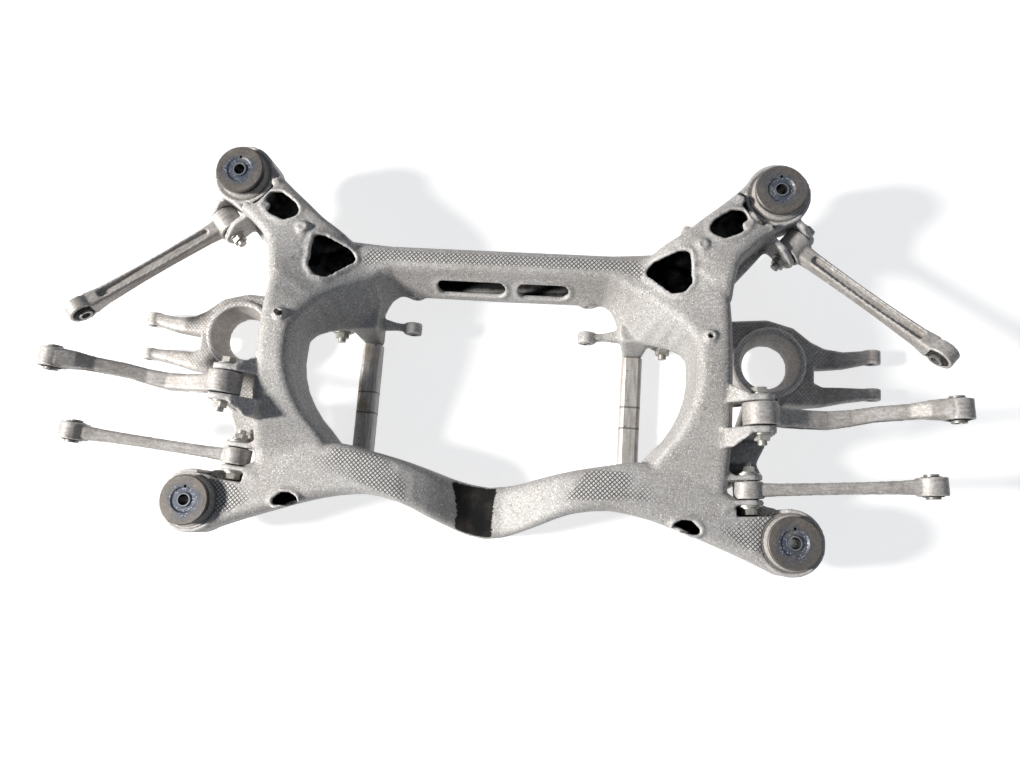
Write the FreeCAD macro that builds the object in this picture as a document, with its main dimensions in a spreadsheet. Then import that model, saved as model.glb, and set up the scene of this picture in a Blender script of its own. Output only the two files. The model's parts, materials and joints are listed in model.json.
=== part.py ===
import FreeCAD, Part
import math
import os
import Sketcher

from FreeCAD import Placement, Rotation, Vector

# Rear axle beam: a cast aluminium subframe with its suspension links.
# Frame: X to the right, Y to the front, Z up, origin on the floor under the centre of the beam.
# The left half mirrors the right half, apart from the two slots of the front crossmember,
# the small stud on the left rail and the small nub on the right ear.

UP = Vector(0, 0, 1)
FORE = Vector(0, 1, 0)

doc = FreeCAD.newDocument("rear_axle_beam")
sheet = doc.addObject("Spreadsheet::Sheet", "Sizes")

SIZES = [
    # Casting
    ("wall", 6.0),
    ("rail_crown", 20.0),
    ("cross_top", 152.0),
    ("cross_bottom", 66.0),
    ("cross_front", 172.0),
    ("cross_lip", 101.0),
    ("rail_top", 216.0),
    ("rail_bottom", 122.0),
    ("rail_inner", 315.0),
    ("rail_outer", 377.0),
    ("rear_top", 138.0),
    ("rear_bottom", 80.0),
    ("dip_top", 72.0),
    ("dip_bottom", 18.0),
    ("window_rim", 2.5),
    ("window_rim_width", 5.0),
    # Body mounts
    ("mount_front_x", 447.0),
    ("mount_front_y", 276.5),
    ("mount_front_land", 172.0),
    ("mount_rear_x", 484.0),
    ("mount_rear_y", -277.5),
    ("mount_rear_land", 133.0),
    ("ring_radius", 52.5),
    ("ring_depth", 62.0),
    ("ring_step_radius", 64.0),
    ("can_radius", 46.0),
    ("can_wall", 2.5),
    ("can_stand", 1.5),
    ("core_radius", 16.0),
    ("core_bore", 9.0),
    ("disc_radius", 41.0),
    ("disc_thick", 5.0),
    ("disc_lift", 22.0),
    ("disc_dish", 2.0),
    ("disc_hole", 2.4),
    ("disc_hole_offset", 22.0),
    ("rim_radius", 13.0),
    ("core_reach", 56.0),
    ("rubber_reach", 50.0),
    ("rubber_waist", 37.0),
    # Lower bars and their legs
    ("bar_middle", 234.5),
    ("bar_width", 35.0),
    ("bar_height", 28.0),
    ("bar_round", 7.0),
    ("bar_front", 24.0),
    ("bar_rear", -186.0),
    ("leg_length", 42.0),
    # Differential lugs
    ("lug_x", 151.0),
    ("lug_z", 70.0),
    ("stub_y", 45.0),
    ("lug_y", 110.0),
    ("lug_radius", 15.0),
    ("lug_length", 20.0),
    ("insert_radius", 8.0),
    ("insert_bore", 5.5),
    ("lug_bore", 4.5),
    # Bolts, nuts and clearances
    ("bolt_radius", 7.0),
    ("bolt_clear", 0.25),
    ("hex_flats", 21.0),
    ("head_height", 9.0),
    ("flange_radius", 14.5),
    ("flange_thick", 2.5),
    ("nut_height", 11.0),
    ("thread_end", 7.0),
    ("cam_radius", 20.5),
    ("cam_thick", 3.0),
    ("running_gap", 0.05),
    ("side_gap", 2.0),
    ("ear_thick", 10.0),
    ("sleeve_radius", 11.0),
    ("sleeve_stand", 5.0),
    ("bush_lip", 3.0),
    ("bush_lip_inset", 3.0),
    ("boss_radius", 9.0),
    ("stud_radius", 4.0),
    ("side_boss_x", 339.0),
    ("side_boss_y", 25.0),
    ("side_boss_z", 219.0),
    ("ear_boss_x", 326.0),
    ("ear_boss_y", 179.0),
    ("ear_boss_z", 198.0),
    ("eye_room", 3.0),
    ("head_room", 3.0),
    ("mark_radius", 7.0),
    ("lobe_radius", 9.0),
    ("shelf_low", 94.5),
    ("shelf_thick", 8.0),
    ("stud_height", 12.0),
    # Front link
    ("front_in_x", 482.0),
    ("front_in_y", 203.0),
    ("front_in_z", 130.0),
    ("front_out_x", 697.0),
    ("front_out_y", 27.0),
    ("front_out_z", 172.0),
    ("front_in_eye", 24.0),
    ("front_in_length", 36.0),
    ("front_out_eye", 23.5),
    ("front_out_length", 22.0),
    ("front_in_bush", 19.0),
    ("front_out_bush", 18.5),
    # Camber link
    ("camber_stand", 40.0),
    ("camber_in_y", -90.0),
    ("camber_in_z", 208.0),
    ("camber_span", 278.0),
    ("camber_out_y", -69.0),
    ("camber_out_z", 226.0),
    ("camber_in_eye", 27.0),
    ("camber_in_length", 34.0),
    ("camber_out_eye", 22.0),
    ("camber_out_length", 30.0),
    ("camber_in_bush", 21.0),
    ("camber_out_bush", 17.0),
    ("camber_bow", 34.0),
    # Toe link
    ("toe_stand", 43.0),
    ("toe_in_y", -200.0),
    ("toe_in_z", 117.0),
    ("toe_span", 269.0),
    ("toe_out_y", -178.0),
    ("toe_out_z", 151.0),
    ("toe_in_eye", 23.5),
    ("toe_in_length", 27.0),
    ("toe_out_eye", 23.0),
    ("toe_out_length", 28.0),
    ("toe_in_bush", 18.5),
    ("toe_out_bush", 17.5),
    ("toe_ear_thick", 8.0),
    # Lower arm
    ("arm_pivot_x", 284.0),
    ("arm_pivot_z", 46.0),
    ("arm_front_y", 72.0),
    ("arm_rear_y", -200.0),
    ("arm_eye", 26.0),
    ("arm_eye_length", 44.0),
    ("arm_bush", 20.0),
    ("arm_ring_x", 460.0),
    ("arm_ring_y", 18.0),
    ("arm_ring_radius", 60.0),
    ("arm_ring_bore", 39.0),
    ("arm_cup_radius", 51.0),
    ("arm_cup_floor", 42.0),
    ("arm_ring_top", 81.0),
    ("arm_top", 76.0),
    ("arm_bottom", 24.0),
    ("arm_tip_x", 643.0),
    ("arm_tip_z", 29.0),
    ("arm_tip_radius", 15.0),
    ("arm_tip_bore", 7.0),
    ("arm_fork_front", 46.5),
    ("arm_fork_rear", -18.5),
    ("arm_prong", 20.0),
]

for row, (alias, value) in enumerate(SIZES, start=1):
    sheet.set("A%d" % row, alias)
    sheet.set("B%d" % row, str(value))
    sheet.setAlias("B%d" % row, alias)
doc.recompute()


def size(alias):
    return float(sheet.get(alias))


def link_end(name, end):
    """Centre of a link's inner or outer eye on the right side."""
    if name == "front":
        x = size("front_%s_x" % end)
    else:
        x = size("rail_outer") + size(name + "_stand")
        if end == "out":
            x += size(name + "_span")
    return Vector(x, size("%s_%s_y" % (name, end)), size("%s_%s_z" % (name, end)))


def link_axis(name):
    """Direction of a link's bolts: level and square to the link."""
    return UP.cross(link_end(name, "out") - link_end(name, "in")).normalize()


def bound(formula):
    """A sum such as 'bar_width/2 + 4' as a reference to the sheet."""
    words = formula.split()
    return " ".join("Sizes." + word if word[0].isalpha() else word for word in words)


def amount(formula):
    """The value of the same sum in millimetres."""
    total = 0.0
    sign = 1.0
    for word in formula.split():
        if word in ("+", "-"):
            sign = 1.0 if word == "+" else -1.0
            continue
        name, slash, parts = word.partition("/")
        value = size(name) if name[0].isalpha() else float(name)
        total += sign * value / float(parts or 1)
    return total


NODES = {}


def keep(label, item):
    item.Label = label
    NODES[label] = item
    return item


def plain(label, shape):
    """A piece whose form is worked out here from the sizes."""
    item = doc.addObject("Part::Feature", label)
    item.Shape = shape
    return keep(label, item)


# Basic forms

SPAN_STEPS = 2


def mirrored(shape):
    return shape.mirror(Vector(), Vector(1, 0, 0))


def rounded_wire(points, radii):
    """A closed wire through corner points, each corner rounded by its own radius."""
    edges = []
    arcs = []
    count = len(points)
    for i, corner in enumerate(points):
        back = (points[i - 1] - corner).normalize()
        ahead = (points[(i + 1) % count] - corner).normalize()
        half = back.getAngle(ahead) / 2.0
        reach = radii[i] / math.tan(half)
        middle = (back + ahead).normalize() * (radii[i] / math.sin(half) - radii[i])
        arcs.append((corner + back * reach, corner + middle, corner + ahead * reach))
    for i, (start, middle, end) in enumerate(arcs):
        edges.append(Part.Arc(start, middle, end).toShape())
        edges.append(Part.makeLine(end, arcs[(i + 1) % count][0]))
    return Part.Wire(edges)


def prism(outline, low, high, radius=0.0):
    """A vertical block over a plan outline with rounded corners."""
    points = [Vector(x, y, low) for x, y in outline]
    if radius:
        wire = rounded_wire(points, [radius] * len(points))
    else:
        wire = Part.makePolygon(points + points[:1])
    return Part.Face(wire).extrude(Vector(0, 0, high - low))


def plate(outline, low, high, radius=0.0):
    """A block over an outline in X and Z, from one Y to another."""
    points = [Vector(x, low, z) for x, z in outline]
    if radius:
        wire = rounded_wire(points, [radius] * len(points))
    else:
        wire = Part.makePolygon(points + points[:1])
    return Part.Face(wire).extrude(Vector(0, high - low, 0))


def rod(radius, start, end):
    return Part.makeCylinder(radius, (end - start).Length, start, end - start)


def inset(points, distance):
    """The corner points of a flat section, moved inwards by a wall thickness."""
    count = len(points)
    normal = Vector()
    for i in range(count):
        normal += (points[i] - points[0]).cross(points[(i + 1) % count] - points[0])
    normal.normalize()
    moved = []
    for i in range(count):
        before = (points[i] - points[i - 1]).normalize()
        after = (points[(i + 1) % count] - points[i]).normalize()
        side = normal.cross(before)
        other = normal.cross(after)
        moved.append(points[i] + (side + other) * (distance / (1.0 + side.dot(other))))
    return moved


def corner_points(points, radii, parts):
    """A flat section whose corners are cut to short straight chords of an arc."""
    result = []
    count = len(points)
    for i, corner in enumerate(points):
        if parts[i] == 0:
            result.append(corner)
            continue
        back = (points[i - 1] - corner).normalize()
        ahead = (points[(i + 1) % count] - corner).normalize()
        half = back.getAngle(ahead) / 2.0
        reach = radii[i] / math.tan(half)
        centre = corner + (back + ahead).normalize() * (radii[i] / math.sin(half))
        first = corner + back * reach - centre
        last = corner + ahead * reach - centre
        turn = first.getAngle(last)
        for step in range(parts[i] + 1):
            share = step / parts[i]
            near = math.sin((1.0 - share) * turn) / math.sin(turn)
            far = math.sin(share * turn) / math.sin(turn)
            result.append(centre + first * near + last * far)
    return result


def limited(first, second):
    if first * second <= 0.0:
        return 0.0
    return 2.0 * first * second / (first + second)


def between(before, start, end, after, share):
    """A smooth value between start and end that never runs past either of them."""
    rise = end - start
    lean_in = limited(start - before, rise) - rise
    lean_out = limited(rise, after - end) - rise
    near = share * (1.0 - share)
    return start + rise * share + near * ((1.0 - share) * lean_in - share * lean_out)


def refined(sections, steps):
    """Extra sections between the given ones, so that a run of straight spans looks curved."""
    last = len(sections) - 1
    result = []
    for i in range(last):
        rows = [sections[max(i - 1, 0)], sections[i], sections[i + 1], sections[min(i + 2, last)]]
        for step in range(steps):
            points = []
            for corner in range(len(sections[i])):
                values = zip(*[row[corner] for row in rows])
                points.append(Vector(*[between(*value, step / steps) for value in values]))
            result.append(points)
    result.append(sections[last])
    return result


def skin(rings):
    """A closed solid through rings of points, with flat faces between neighbouring rings."""
    faces = [Part.Face(Part.makePolygon(ring + ring[:1])) for ring in (rings[0], rings[-1])]
    for low, high in zip(rings, rings[1:]):
        for i in range(len(low)):
            k = (i + 1) % len(low)
            corners = [low[i], low[k], high[k], high[i]]
            if (low[i] - high[k]).Length < (low[k] - high[i]).Length:
                halves = [(0, 1, 2), (0, 2, 3)]
            else:
                halves = [(0, 1, 3), (1, 2, 3)]
            for half in halves:
                triangle = [corners[j] for j in half]
                faces.append(Part.Face(Part.makePolygon(triangle + triangle[:1])))
    solid = Part.Solid(Part.Shell(faces))
    if solid.Volume < 0.0:
        solid.reverse()
    return solid


def member(sections, radii, parts, wall=0.0):
    """A curved beam through flat sections; a wall makes the hollow inside it."""
    rings = []
    for points in refined(sections, SPAN_STEPS):
        if wall:
            rings.append(inset(points, wall))
        else:
            rings.append(corner_points(points, radii, parts))
    return skin(rings)


# Casting sections of the right half

def main_sections():
    """Front crossmember, the bend of the corner and the side rail, as one run of sections."""
    top = size("cross_top")
    low = size("cross_bottom")
    front = size("cross_front")
    lip = size("cross_lip")
    inner = size("rail_inner")
    outer = size("rail_outer")
    crown = size("rail_top")
    under = size("rail_bottom")
    rear = size("rear_top")
    rear_low = size("rear_bottom")
    # inner foot, outer foot, share of the width taken by the sloped web,
    # heights: inner foot, lip, ridge, outer top, outer foot
    table = [
        ((0, lip), (0, front), 0.44, low, low + 12, top, top, low),
        ((120, lip + 1), (120, front), 0.44, low, low + 12, top, top, low),
        ((178, lip + 1), (186, front), 0.42, low, low + 12, top, top, low),
        ((199, lip - 24), (240, front + 3), 0.38, low, low + 14, top + 1, top + 4, low + 6),
        ((207, lip - 50), (300, front + 4), 0.38, low + 2, low + 18, top + 10, top + 26, low + 16),
        ((236, lip - 65), (358, front - 26), 0.34, low + 18, low + 34, top + 32, crown - 23, low + 32),
        ((285, lip - 78), (outer - 5, 82), 0.25, under - 16, under, crown - 10, crown - 8, under - 12),
        ((inner - 2, 0), (outer - 2, 22), 0.13, under, under + 18, crown, crown, under),
        ((inner, -40), (outer, -40), 0.12, under, under + 24, crown - 2, crown - 2, under),
        ((inner - 9, -85), (outer + 4, -92), 0.12, under - 6, under + 16, crown - 18, crown - 18, under - 8),
        ((inner - 31, -128), (outer + 8, -142), 0.12, rear_low + 14, under, crown - 46, crown - 44,
         rear_low + 12),
        ((inner - 62, -163), (outer + 10, -190), 0.12, rear_low + 3, rear_low + 22, rear + 3, rear + 4,
         rear_low + 3),
        ((inner - 80, -210), (outer + 10, -232), 0.12, rear_low + 3, rear_low + 18, rear - 6, rear - 6,
         rear_low + 3),
    ]
    sections = []
    for foot, far, share, z_foot, z_lip, z_ridge, z_outer, z_far in table:
        inside = Vector(foot[0], foot[1], 0)
        outside = Vector(far[0], far[1], 0)
        ridge = inside + (outside - inside) * share
        sections.append([
            inside + Vector(0, 0, z_foot),
            inside + Vector(0, 0, z_lip),
            ridge + Vector(0, 0, z_ridge),
            outside + Vector(0, 0, z_outer),
            outside + Vector(0, 0, z_far),
        ])
    return sections


def ear_sections():
    """The ear that runs from the corner to the front body mount."""
    low = size("cross_bottom")
    land = size("mount_front_land")
    top = land + 13
    table = [
        ((231, 155), (374, 90), size("cross_top"), size("rail_top") - 9, low + 8, low + 36),
        ((265, 181.5), (379, 126), top - 8, top + 19, low + 20, low + 40),
        ((295, 200.5), (387, 156), top + 4, top + 15, low + 32, low + 42),
        ((325, 226.5), (407, 180), top + 5, top + 11, low + 40, low + 44),
        ((355, 252), (430, 201), top + 2, top + 5, low + 44, low + 44),
        ((386, 281), (456, 221), top, top, low + 44, low + 44),
        ((412, 312), (480, 240), top, top, low + 44, low + 44),
    ]
    sections = []
    for near, far, z_near, z_far, low_near, low_far in table:
        sections.append([
            Vector(near[0], near[1], low_near),
            Vector(near[0], near[1], z_near),
            Vector(far[0], far[1], z_far),
            Vector(far[0], far[1], low_far),
        ])
    return sections


def rear_sections():
    """Rear crossmember with its dip in the middle, running out into the rear ear."""
    top = size("rear_top")
    low = size("rear_bottom")
    dip = size("dip_top")
    dip_low = size("dip_bottom")
    land = size("mount_rear_land")
    table = [
        (0, -307, -221, dip, dip_low),
        (28, -303, -218, dip + 4, dip_low + 3),
        (60, -291, -211, dip + 22, dip_low + 18),
        (95, -276, -200, top - 22, low - 24),
        (142, -256, -187, top - 5, low - 8),
        (199, -247, -175, top, low),
        (245, -252, -167, top + 1, low),
        (300, -266, -172, top + 1, low),
        (350, -283, -192, top, low),
        (400, -301, -212, top - 2, low),
        (440, -317, -220, land + 2, low),
        (468, -329, -224, land + 1, low),
    ]
    sections = []
    for x, rear, front, z_top, z_low in table:
        sections.append([
            Vector(x, rear, z_low),
            Vector(x, rear, z_top),
            Vector(x, front, z_top),
            Vector(x, front, z_low),
        ])
    return sections


MAIN_RADII = [5.0, 9.0, 18.0, 18.0, 8.0]
MAIN_PARTS = [1, 1, 3, 3, 1]
EAR_RADII = [6.0, 12.0, 12.0, 6.0]
EAR_PARTS = [1, 2, 2, 1]
REAR_RADII = [8.0, 14.0, 14.0, 8.0]
REAR_PARTS = [1, 3, 3, 1]

def post(x, y, top, bottom, size_top, size_bottom):
    """A cast leg that narrows from its root in the casting to its foot."""
    rings = []
    for z, centre, (wide, deep) in ((top, x[0], size_top), (bottom, x[1], size_bottom)):
        middle = y[0] if z == top else y[1]
        corners = [
            Vector(centre - wide / 2, middle - deep / 2, z),
            Vector(centre + wide / 2, middle - deep / 2, z),
            Vector(centre + wide / 2, middle + deep / 2, z),
            Vector(centre - wide / 2, middle + deep / 2, z),
        ]
        rings.append(corner_points(corners, [8.0] * 4, [2] * 4))
    return skin(rings)


def legs():
    """The two legs that carry the ends of the lower bar."""
    middle = size("bar_middle")
    wide = size("bar_width")
    length = size("leg_length")
    front = size("bar_front") + length / 2
    rear = size("bar_rear") - length / 2
    foot = (wide, length)
    front_root = (wide + 20, length + 22)
    rear_root = (wide + 24, length + 12)
    front_top = size("cross_bottom") + 38
    rear_top = size("rear_bottom") + 12
    return [
        post((middle - 1, middle), (front + 22, front), front_top, 0.0, front_root, foot),
        post((middle + 4, middle), (rear - 6, rear), rear_top, 0.0, rear_root, foot),
    ]


def wedge(root_x, knee_x, tip_x, inner_y, tip_y, root_y, low, high):
    """The plan of a bracket ear that thickens from a knee towards its root."""
    return prism([
        (root_x, inner_y),
        (tip_x, inner_y),
        (tip_x, tip_y),
        (knee_x, tip_y),
        (root_x + 0.35 * (knee_x - root_x), root_y),
        (root_x, root_y),
    ], low, high)


def squared(shapes, name):
    """Ears drawn square to Y, turned about their pivot to stand square to the bolt."""
    axis = link_axis(name)
    turn = math.degrees(math.atan2(-axis.x, axis.y))
    centre = link_end(name, "in")
    for shape in shapes:
        shape.rotate(centre, UP, turn)
    return shapes


def camber_ears():
    """The front ear, and the rear ear that runs down to the shelf below it."""
    x, y, z = link_end("camber", "in")
    radius = size("camber_in_eye") - 5
    reach = size("camber_in_length") / 2 + size("side_gap")
    tip = reach + size("ear_thick")
    root = size("rail_outer") - 14
    low = z - 86
    shelf = size("shelf_low")
    head = [(root, z - 6), (x - 22, z + radius - 3), (x, z + radius), (x + radius, z)]
    front = plate([(root, low)] + head + [(x + radius * 0.6, z - radius)], y, y + 90)
    rear = plate([(root, shelf)] + head + [(x + 34, shelf + 24), (x + 34, shelf)], y - 90, y)
    lug = rod(radius, Vector(x, y - 90, z), Vector(x, y + 90, z))
    knee = x - size("flange_radius") - 2
    end = x + 36
    high = z + radius + 5
    front_room = wedge(root, knee, end, y + reach, y + tip, y + tip + 17, low - 5, high)
    rear_room = wedge(root, knee, end, y - reach, y - tip, y - tip - 19, shelf - 5, high)
    return squared([front.fuse(lug).common(front_room), rear.fuse(lug).common(rear_room)], "camber")


def toe_ears():
    x, y, z = link_end("toe", "in")
    radius = size("toe_in_eye") - 1
    reach = size("toe_in_length") / 2 + size("side_gap")
    tip = reach + size("toe_ear_thick")
    root = size("rail_outer") - 6
    profile = plate([
        (root, size("rear_bottom") + 4),
        (root, z + radius - 2),
        (x, z + radius),
        (x + radius, z),
        (x + radius + 5, z - radius),
        (x + radius, size("rear_bottom") + 4),
    ], y - 60, y + 60)
    profile = profile.fuse(rod(radius, Vector(x, y - 60, z), Vector(x, y + 60, z)))
    knee = x - size("cam_radius") - 2
    end = x + radius + 7
    front = wedge(root, knee, end, y + reach, y + tip, y + tip + 12, z - 60, z + 60)
    rear = wedge(root, knee, end, y - reach, y - tip, y - tip - 10, z - 60, z + 60)
    return squared([profile.common(front), profile.common(rear)], "toe")


def bracket_shelf():
    """The low web outside the rail from the camber bracket to the toe bracket, in two steps."""
    camber = link_end("camber", "in")
    toe = link_end("toe", "in")
    outer = size("rail_outer")
    low = size("shelf_low")
    thick = size("shelf_thick")
    front = prism([
        (outer - 14, camber.y - 22),
        (camber.x + 34, camber.y - 22),
        (camber.x + 32, camber.y - 36),
        (camber.x + 20, camber.y - 62),
        (camber.x + 20, toe.y + 42),
        (outer - 10, toe.y + 42),
    ], low, low + thick)
    rear = prism([
        (outer - 10, toe.y + 49),
        (camber.x + 20, toe.y + 49),
        (camber.x + 21, toe.y + 42),
        (toe.x + 27, toe.y + 26),
        (toe.x + 27, toe.y + 18),
        (outer - 6, toe.y + 18),
    ], low - 6.5, low - 6.5 + thick)
    return front.fuse(rear)


def front_skirt():
    """The low web under the ear, between the rail and the bracket of the front link."""
    outer = size("rail_outer")
    low = size("cross_bottom") + 40
    return prism([
        (outer - 12, 96),
        (outer + 2, 118),
        (outer + 16, 143),
        (outer + 43, 175),
        (outer + 60, 196),
        (outer + 88, 206),
        (outer + 60, 226),
        (outer + 4, 170),
    ], low, low + 12)


def head_pocket(margin):
    """Room in the rear ear for the head of the toe bolt, open to above."""
    x, y, z = link_end("toe", "in")
    face = size("toe_in_length") / 2 + size("side_gap") + size("toe_ear_thick")
    deep = face + size("cam_thick") + size("flange_thick") + size("head_height") + size("head_room") + margin
    wide = size("cam_radius") + size("head_room") + margin
    block = plate([
        (x - wide, z - wide),
        (x + wide + 30, z - wide),
        (x + wide + 30, z + 60),
        (x - wide, z + 60),
    ], y - deep, y - face + margin)
    return squared([block], "toe")[0]


def front_frame():
    """Place and directions of the front link: its length, its bolt axis and its upper side."""
    inner = link_end("front", "in")
    outer = link_end("front", "out")
    along = (outer - inner).normalize()
    axis = link_axis("front")
    upper = along.cross(axis)
    turn = Rotation(along, axis, upper, "XYZ")
    return Placement(inner, turn), axis, (outer - inner).Length


def pivots():
    """Name, place and axis direction of each link end of the right side."""
    points = {}
    for name in ("front", "camber", "toe"):
        for end in ("in", "out"):
            points["%s_%s" % (name, end)] = (link_end(name, end), link_axis(name))
    for end in ("front", "rear"):
        point = Vector(size("arm_pivot_x"), size("arm_%s_y" % end), size("arm_pivot_z"))
        points["arm_" + end] = (point, FORE)
    return points


def front_ears():
    """Two ears under the front body mount, square to the bolt of the front link."""
    place, axis, length = front_frame()
    centre = place.Base
    level = Rotation(axis.cross(UP), axis, UP, "XYZ")
    radius = size("front_in_eye") - 4
    reach = size("front_in_length") / 2 + size("side_gap")
    thick = size("ear_thick")
    land = size("mount_front_land") - centre.z
    depth = size("ring_depth") - 2
    ears = []
    for side, back in ((1, 46.0), (-1, 58.0)):
        start = side * reach if side > 0 else -reach - thick
        blade = plate([
            (-back, land - depth),
            (-back, land - 3),
            (-radius * 0.4, land - 8),
            (radius * 0.8, radius * 0.6),
            (radius * 0.8, -radius * 0.6),
            (0, -radius),
        ], start, start + thick)
        blade = blade.fuse(rod(radius, Vector(0, start, 0), Vector(0, start + thick, 0)))
        blade.Placement = Placement(centre, level)
        ears.append(blade)
    return ears


def arm_ears():
    """Two pairs of ears under the casting that hold the inner pivots of the lower arm."""
    x = size("arm_pivot_x")
    z = size("arm_pivot_z")
    radius = size("arm_eye") - 5
    reach = size("arm_eye_length") / 2 + size("side_gap")
    thick = size("ear_thick")
    ears = []
    for y, top in ((size("arm_front_y"), size("cross_bottom") + 42), (size("arm_rear_y"), size("rear_bottom") + 8)):
        for start in (y + reach, y - reach - thick):
            blade = plate([
                (x - radius - 14, top),
                (x - radius, z),
                (x + radius, z),
                (x + radius + 14, top),
            ], start, start + thick)
            lug = rod(radius, Vector(x, start, z), Vector(x, start + thick, z))
            ears.append(blade.fuse(lug))
    return ears


def diff_lugs():
    """The pair of lugs that clamps the front mount of the final drive."""
    x = size("lug_x")
    z = size("lug_z")
    radius = size("lug_radius")
    half = size("lug_length") / 2
    stub_y = size("stub_y")
    lug_y = size("lug_y")
    root = Vector(size("bar_middle") - 24, stub_y + 6, z)
    rings = []
    for x_here, tall, wide in ((x + 2, 18.0, 13.0), (x + 30, 16.0, 13.0), (root.x, 26.0, 22.0)):
        share = (x_here - x) / (root.x - x)
        middle = stub_y + (root.y - stub_y) * share
        corners = [
            Vector(x_here, middle - wide / 2, z - tall / 2),
            Vector(x_here, middle + wide / 2, z - tall / 2),
            Vector(x_here, middle + wide / 2, z + tall / 2),
            Vector(x_here, middle - wide / 2, z + tall / 2),
        ]
        rings.append(corner_points(corners, [4.0] * 4, [1] * 4))
    eye = rod(radius, Vector(x, stub_y - half, z), Vector(x, stub_y + half, z))
    lug = rod(radius - 1, Vector(x, lug_y - half, z), Vector(x, lug_y + half, z))
    return [skin(rings), eye, lug]


def ring_bosses():
    radius = size("ring_radius")
    depth = size("ring_depth")
    bosses = []
    for end in ("front", "rear"):
        land = size("mount_%s_land" % end)
        foot = Vector(size("mount_%s_x" % end), size("mount_%s_y" % end), land - depth)
        bosses.append(rod(radius, foot, foot + UP * depth))
    return bosses


def bores():
    """Round holes of the right half: mounts, link bolts, pivot bolts and lugs."""
    depth = size("ring_depth")
    clear = size("bolt_radius") + size("bolt_clear")
    holes = []
    for end in ("front", "rear"):
        land = size("mount_%s_land" % end)
        foot = Vector(size("mount_%s_x" % end), size("mount_%s_y" % end), land - depth - 1)
        holes.append(rod(size("can_radius"), foot, foot + UP * (depth + 30)))
    for name in ("front", "camber", "toe"):
        centre = link_end(name, "in")
        holes.append(rod(clear, centre - link_axis(name) * 45, centre + link_axis(name) * 45))
    for y in (size("arm_front_y"), size("arm_rear_y")):
        centre = Vector(size("arm_pivot_x"), y, size("arm_pivot_z"))
        holes.append(rod(clear, centre - FORE * 45, centre + FORE * 45))
    half = size("lug_length") / 2
    stub = Vector(size("lug_x"), size("stub_y"), size("lug_z"))
    lug = Vector(size("lug_x"), size("lug_y"), size("lug_z"))
    holes.append(rod(size("insert_radius"), stub - FORE * (half + 2), stub + FORE * (half + 2)))
    holes.append(rod(size("lug_bore"), lug - FORE * (half + 2), lug + FORE * (half - 3)))
    return holes


def rooms():
    """Room between each pair of ears for the link eye that turns there."""
    cuts = []
    for key, eye, length in (
        ("front_in", "front_in_eye", "front_in_length"),
        ("camber_in", "camber_in_eye", "camber_in_length"),
        ("toe_in", "toe_in_eye", "toe_in_length"),
        ("arm_front", "arm_eye", "arm_eye_length"),
        ("arm_rear", "arm_eye", "arm_eye_length"),
    ):
        centre, axis = pivots()[key]
        half = axis * (size(length) / 2 + size("side_gap"))
        cuts.append(rod(size(eye) + size("eye_room"), centre - half, centre + half))
    return cuts


def screw_bosses():
    """Round bosses on the side rail and beside the front ear, and their screw holes."""
    radius = size("boss_radius")
    bosses = []
    holes = []
    for name in ("side_boss", "ear_boss"):
        top = Vector(size(name + "_x"), size(name + "_y"), size(name + "_z"))
        bosses.append(rod(radius, top - UP * 22, top))
        holes.append(rod(size("stud_radius"), top - UP * 14, top + UP))
    return bosses, holes


def windows():
    """Openings in the upper wall of the right half: plan outline, depth and corner radius."""
    return [
        ([(239, 138), (252, 155), (293, 171), (308, 168), (313, 116), (300, 101), (283, 99)], 128.0, 8.0),
        ([(335, 207), (343, 222), (371, 242), (391, 241), (402, 218), (384, 200), (360, 190), (342, 197)], 150.0, 7.0),
        ([(299, -272), (303, -260), (316, -253), (331, -254), (345, -267), (341, -276), (320, -273)], 112.0, 3.0),
    ]


def window_rims():
    """Low raised rims round the three openings, on top of the beam's own surface."""
    proud = size("window_rim")
    grown = [
        member(main_sections(), MAIN_RADII, MAIN_PARTS, -proud),
        member(ear_sections(), EAR_RADII, EAR_PARTS, -proud),
        member(rear_sections(), REAR_RADII, REAR_PARTS, -proud),
    ]
    rims = []
    for outline, depth, radius in windows():
        wire = rounded_wire([Vector(x, y, depth) for x, y in outline], [radius] * len(outline))
        face = Part.Face(wire)
        band = face.makeOffset2D(size("window_rim_width")).cut(face)
        ring = band.extrude(UP * 120)
        rims += [ring.common(beam) for beam in grown]
    return rims


def slot_outlines():
    """The two slots in the sloped wall of the front crossmember, in X and Z."""
    return [[(left, 90), (right, 90), (right, 125), (left, 125)] for left, right in ((-108, 9), (30, 117))]


def slot_rims():
    """Raised rims round the slots, as thick as the wall and its rim together."""
    near = size("cross_lip") - 20
    grown = member(main_sections(), MAIN_RADII, MAIN_PARTS, -size("window_rim"))
    core = member(main_sections(), MAIN_RADII, MAIN_PARTS, size("wall"))
    rims = []
    for outline in slot_outlines():
        wire = rounded_wire([Vector(x, near, z) for x, z in outline], [15.0] * 4)
        face = Part.Face(wire)
        band = face.makeOffset2D(size("window_rim_width")).cut(face)
        ring = band.extrude(FORE * 70)
        rims.append(ring.common(grown.fuse(mirrored(grown))).cut([core, mirrored(core)]))
    return rims


def round_marks():
    """Flat round pads left by the mould on the front and rear ears."""
    radius = size("mark_radius")
    pads = []
    land = size("mount_front_land") + 15
    for x, y, top in ((430, 215, land), (385, 260, land + 1), (428, -288, size("rear_top") - 1)):
        centre = Vector(x, y, top)
        pads.append(rod(radius, centre - UP * 8, centre))
    return pads


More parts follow.
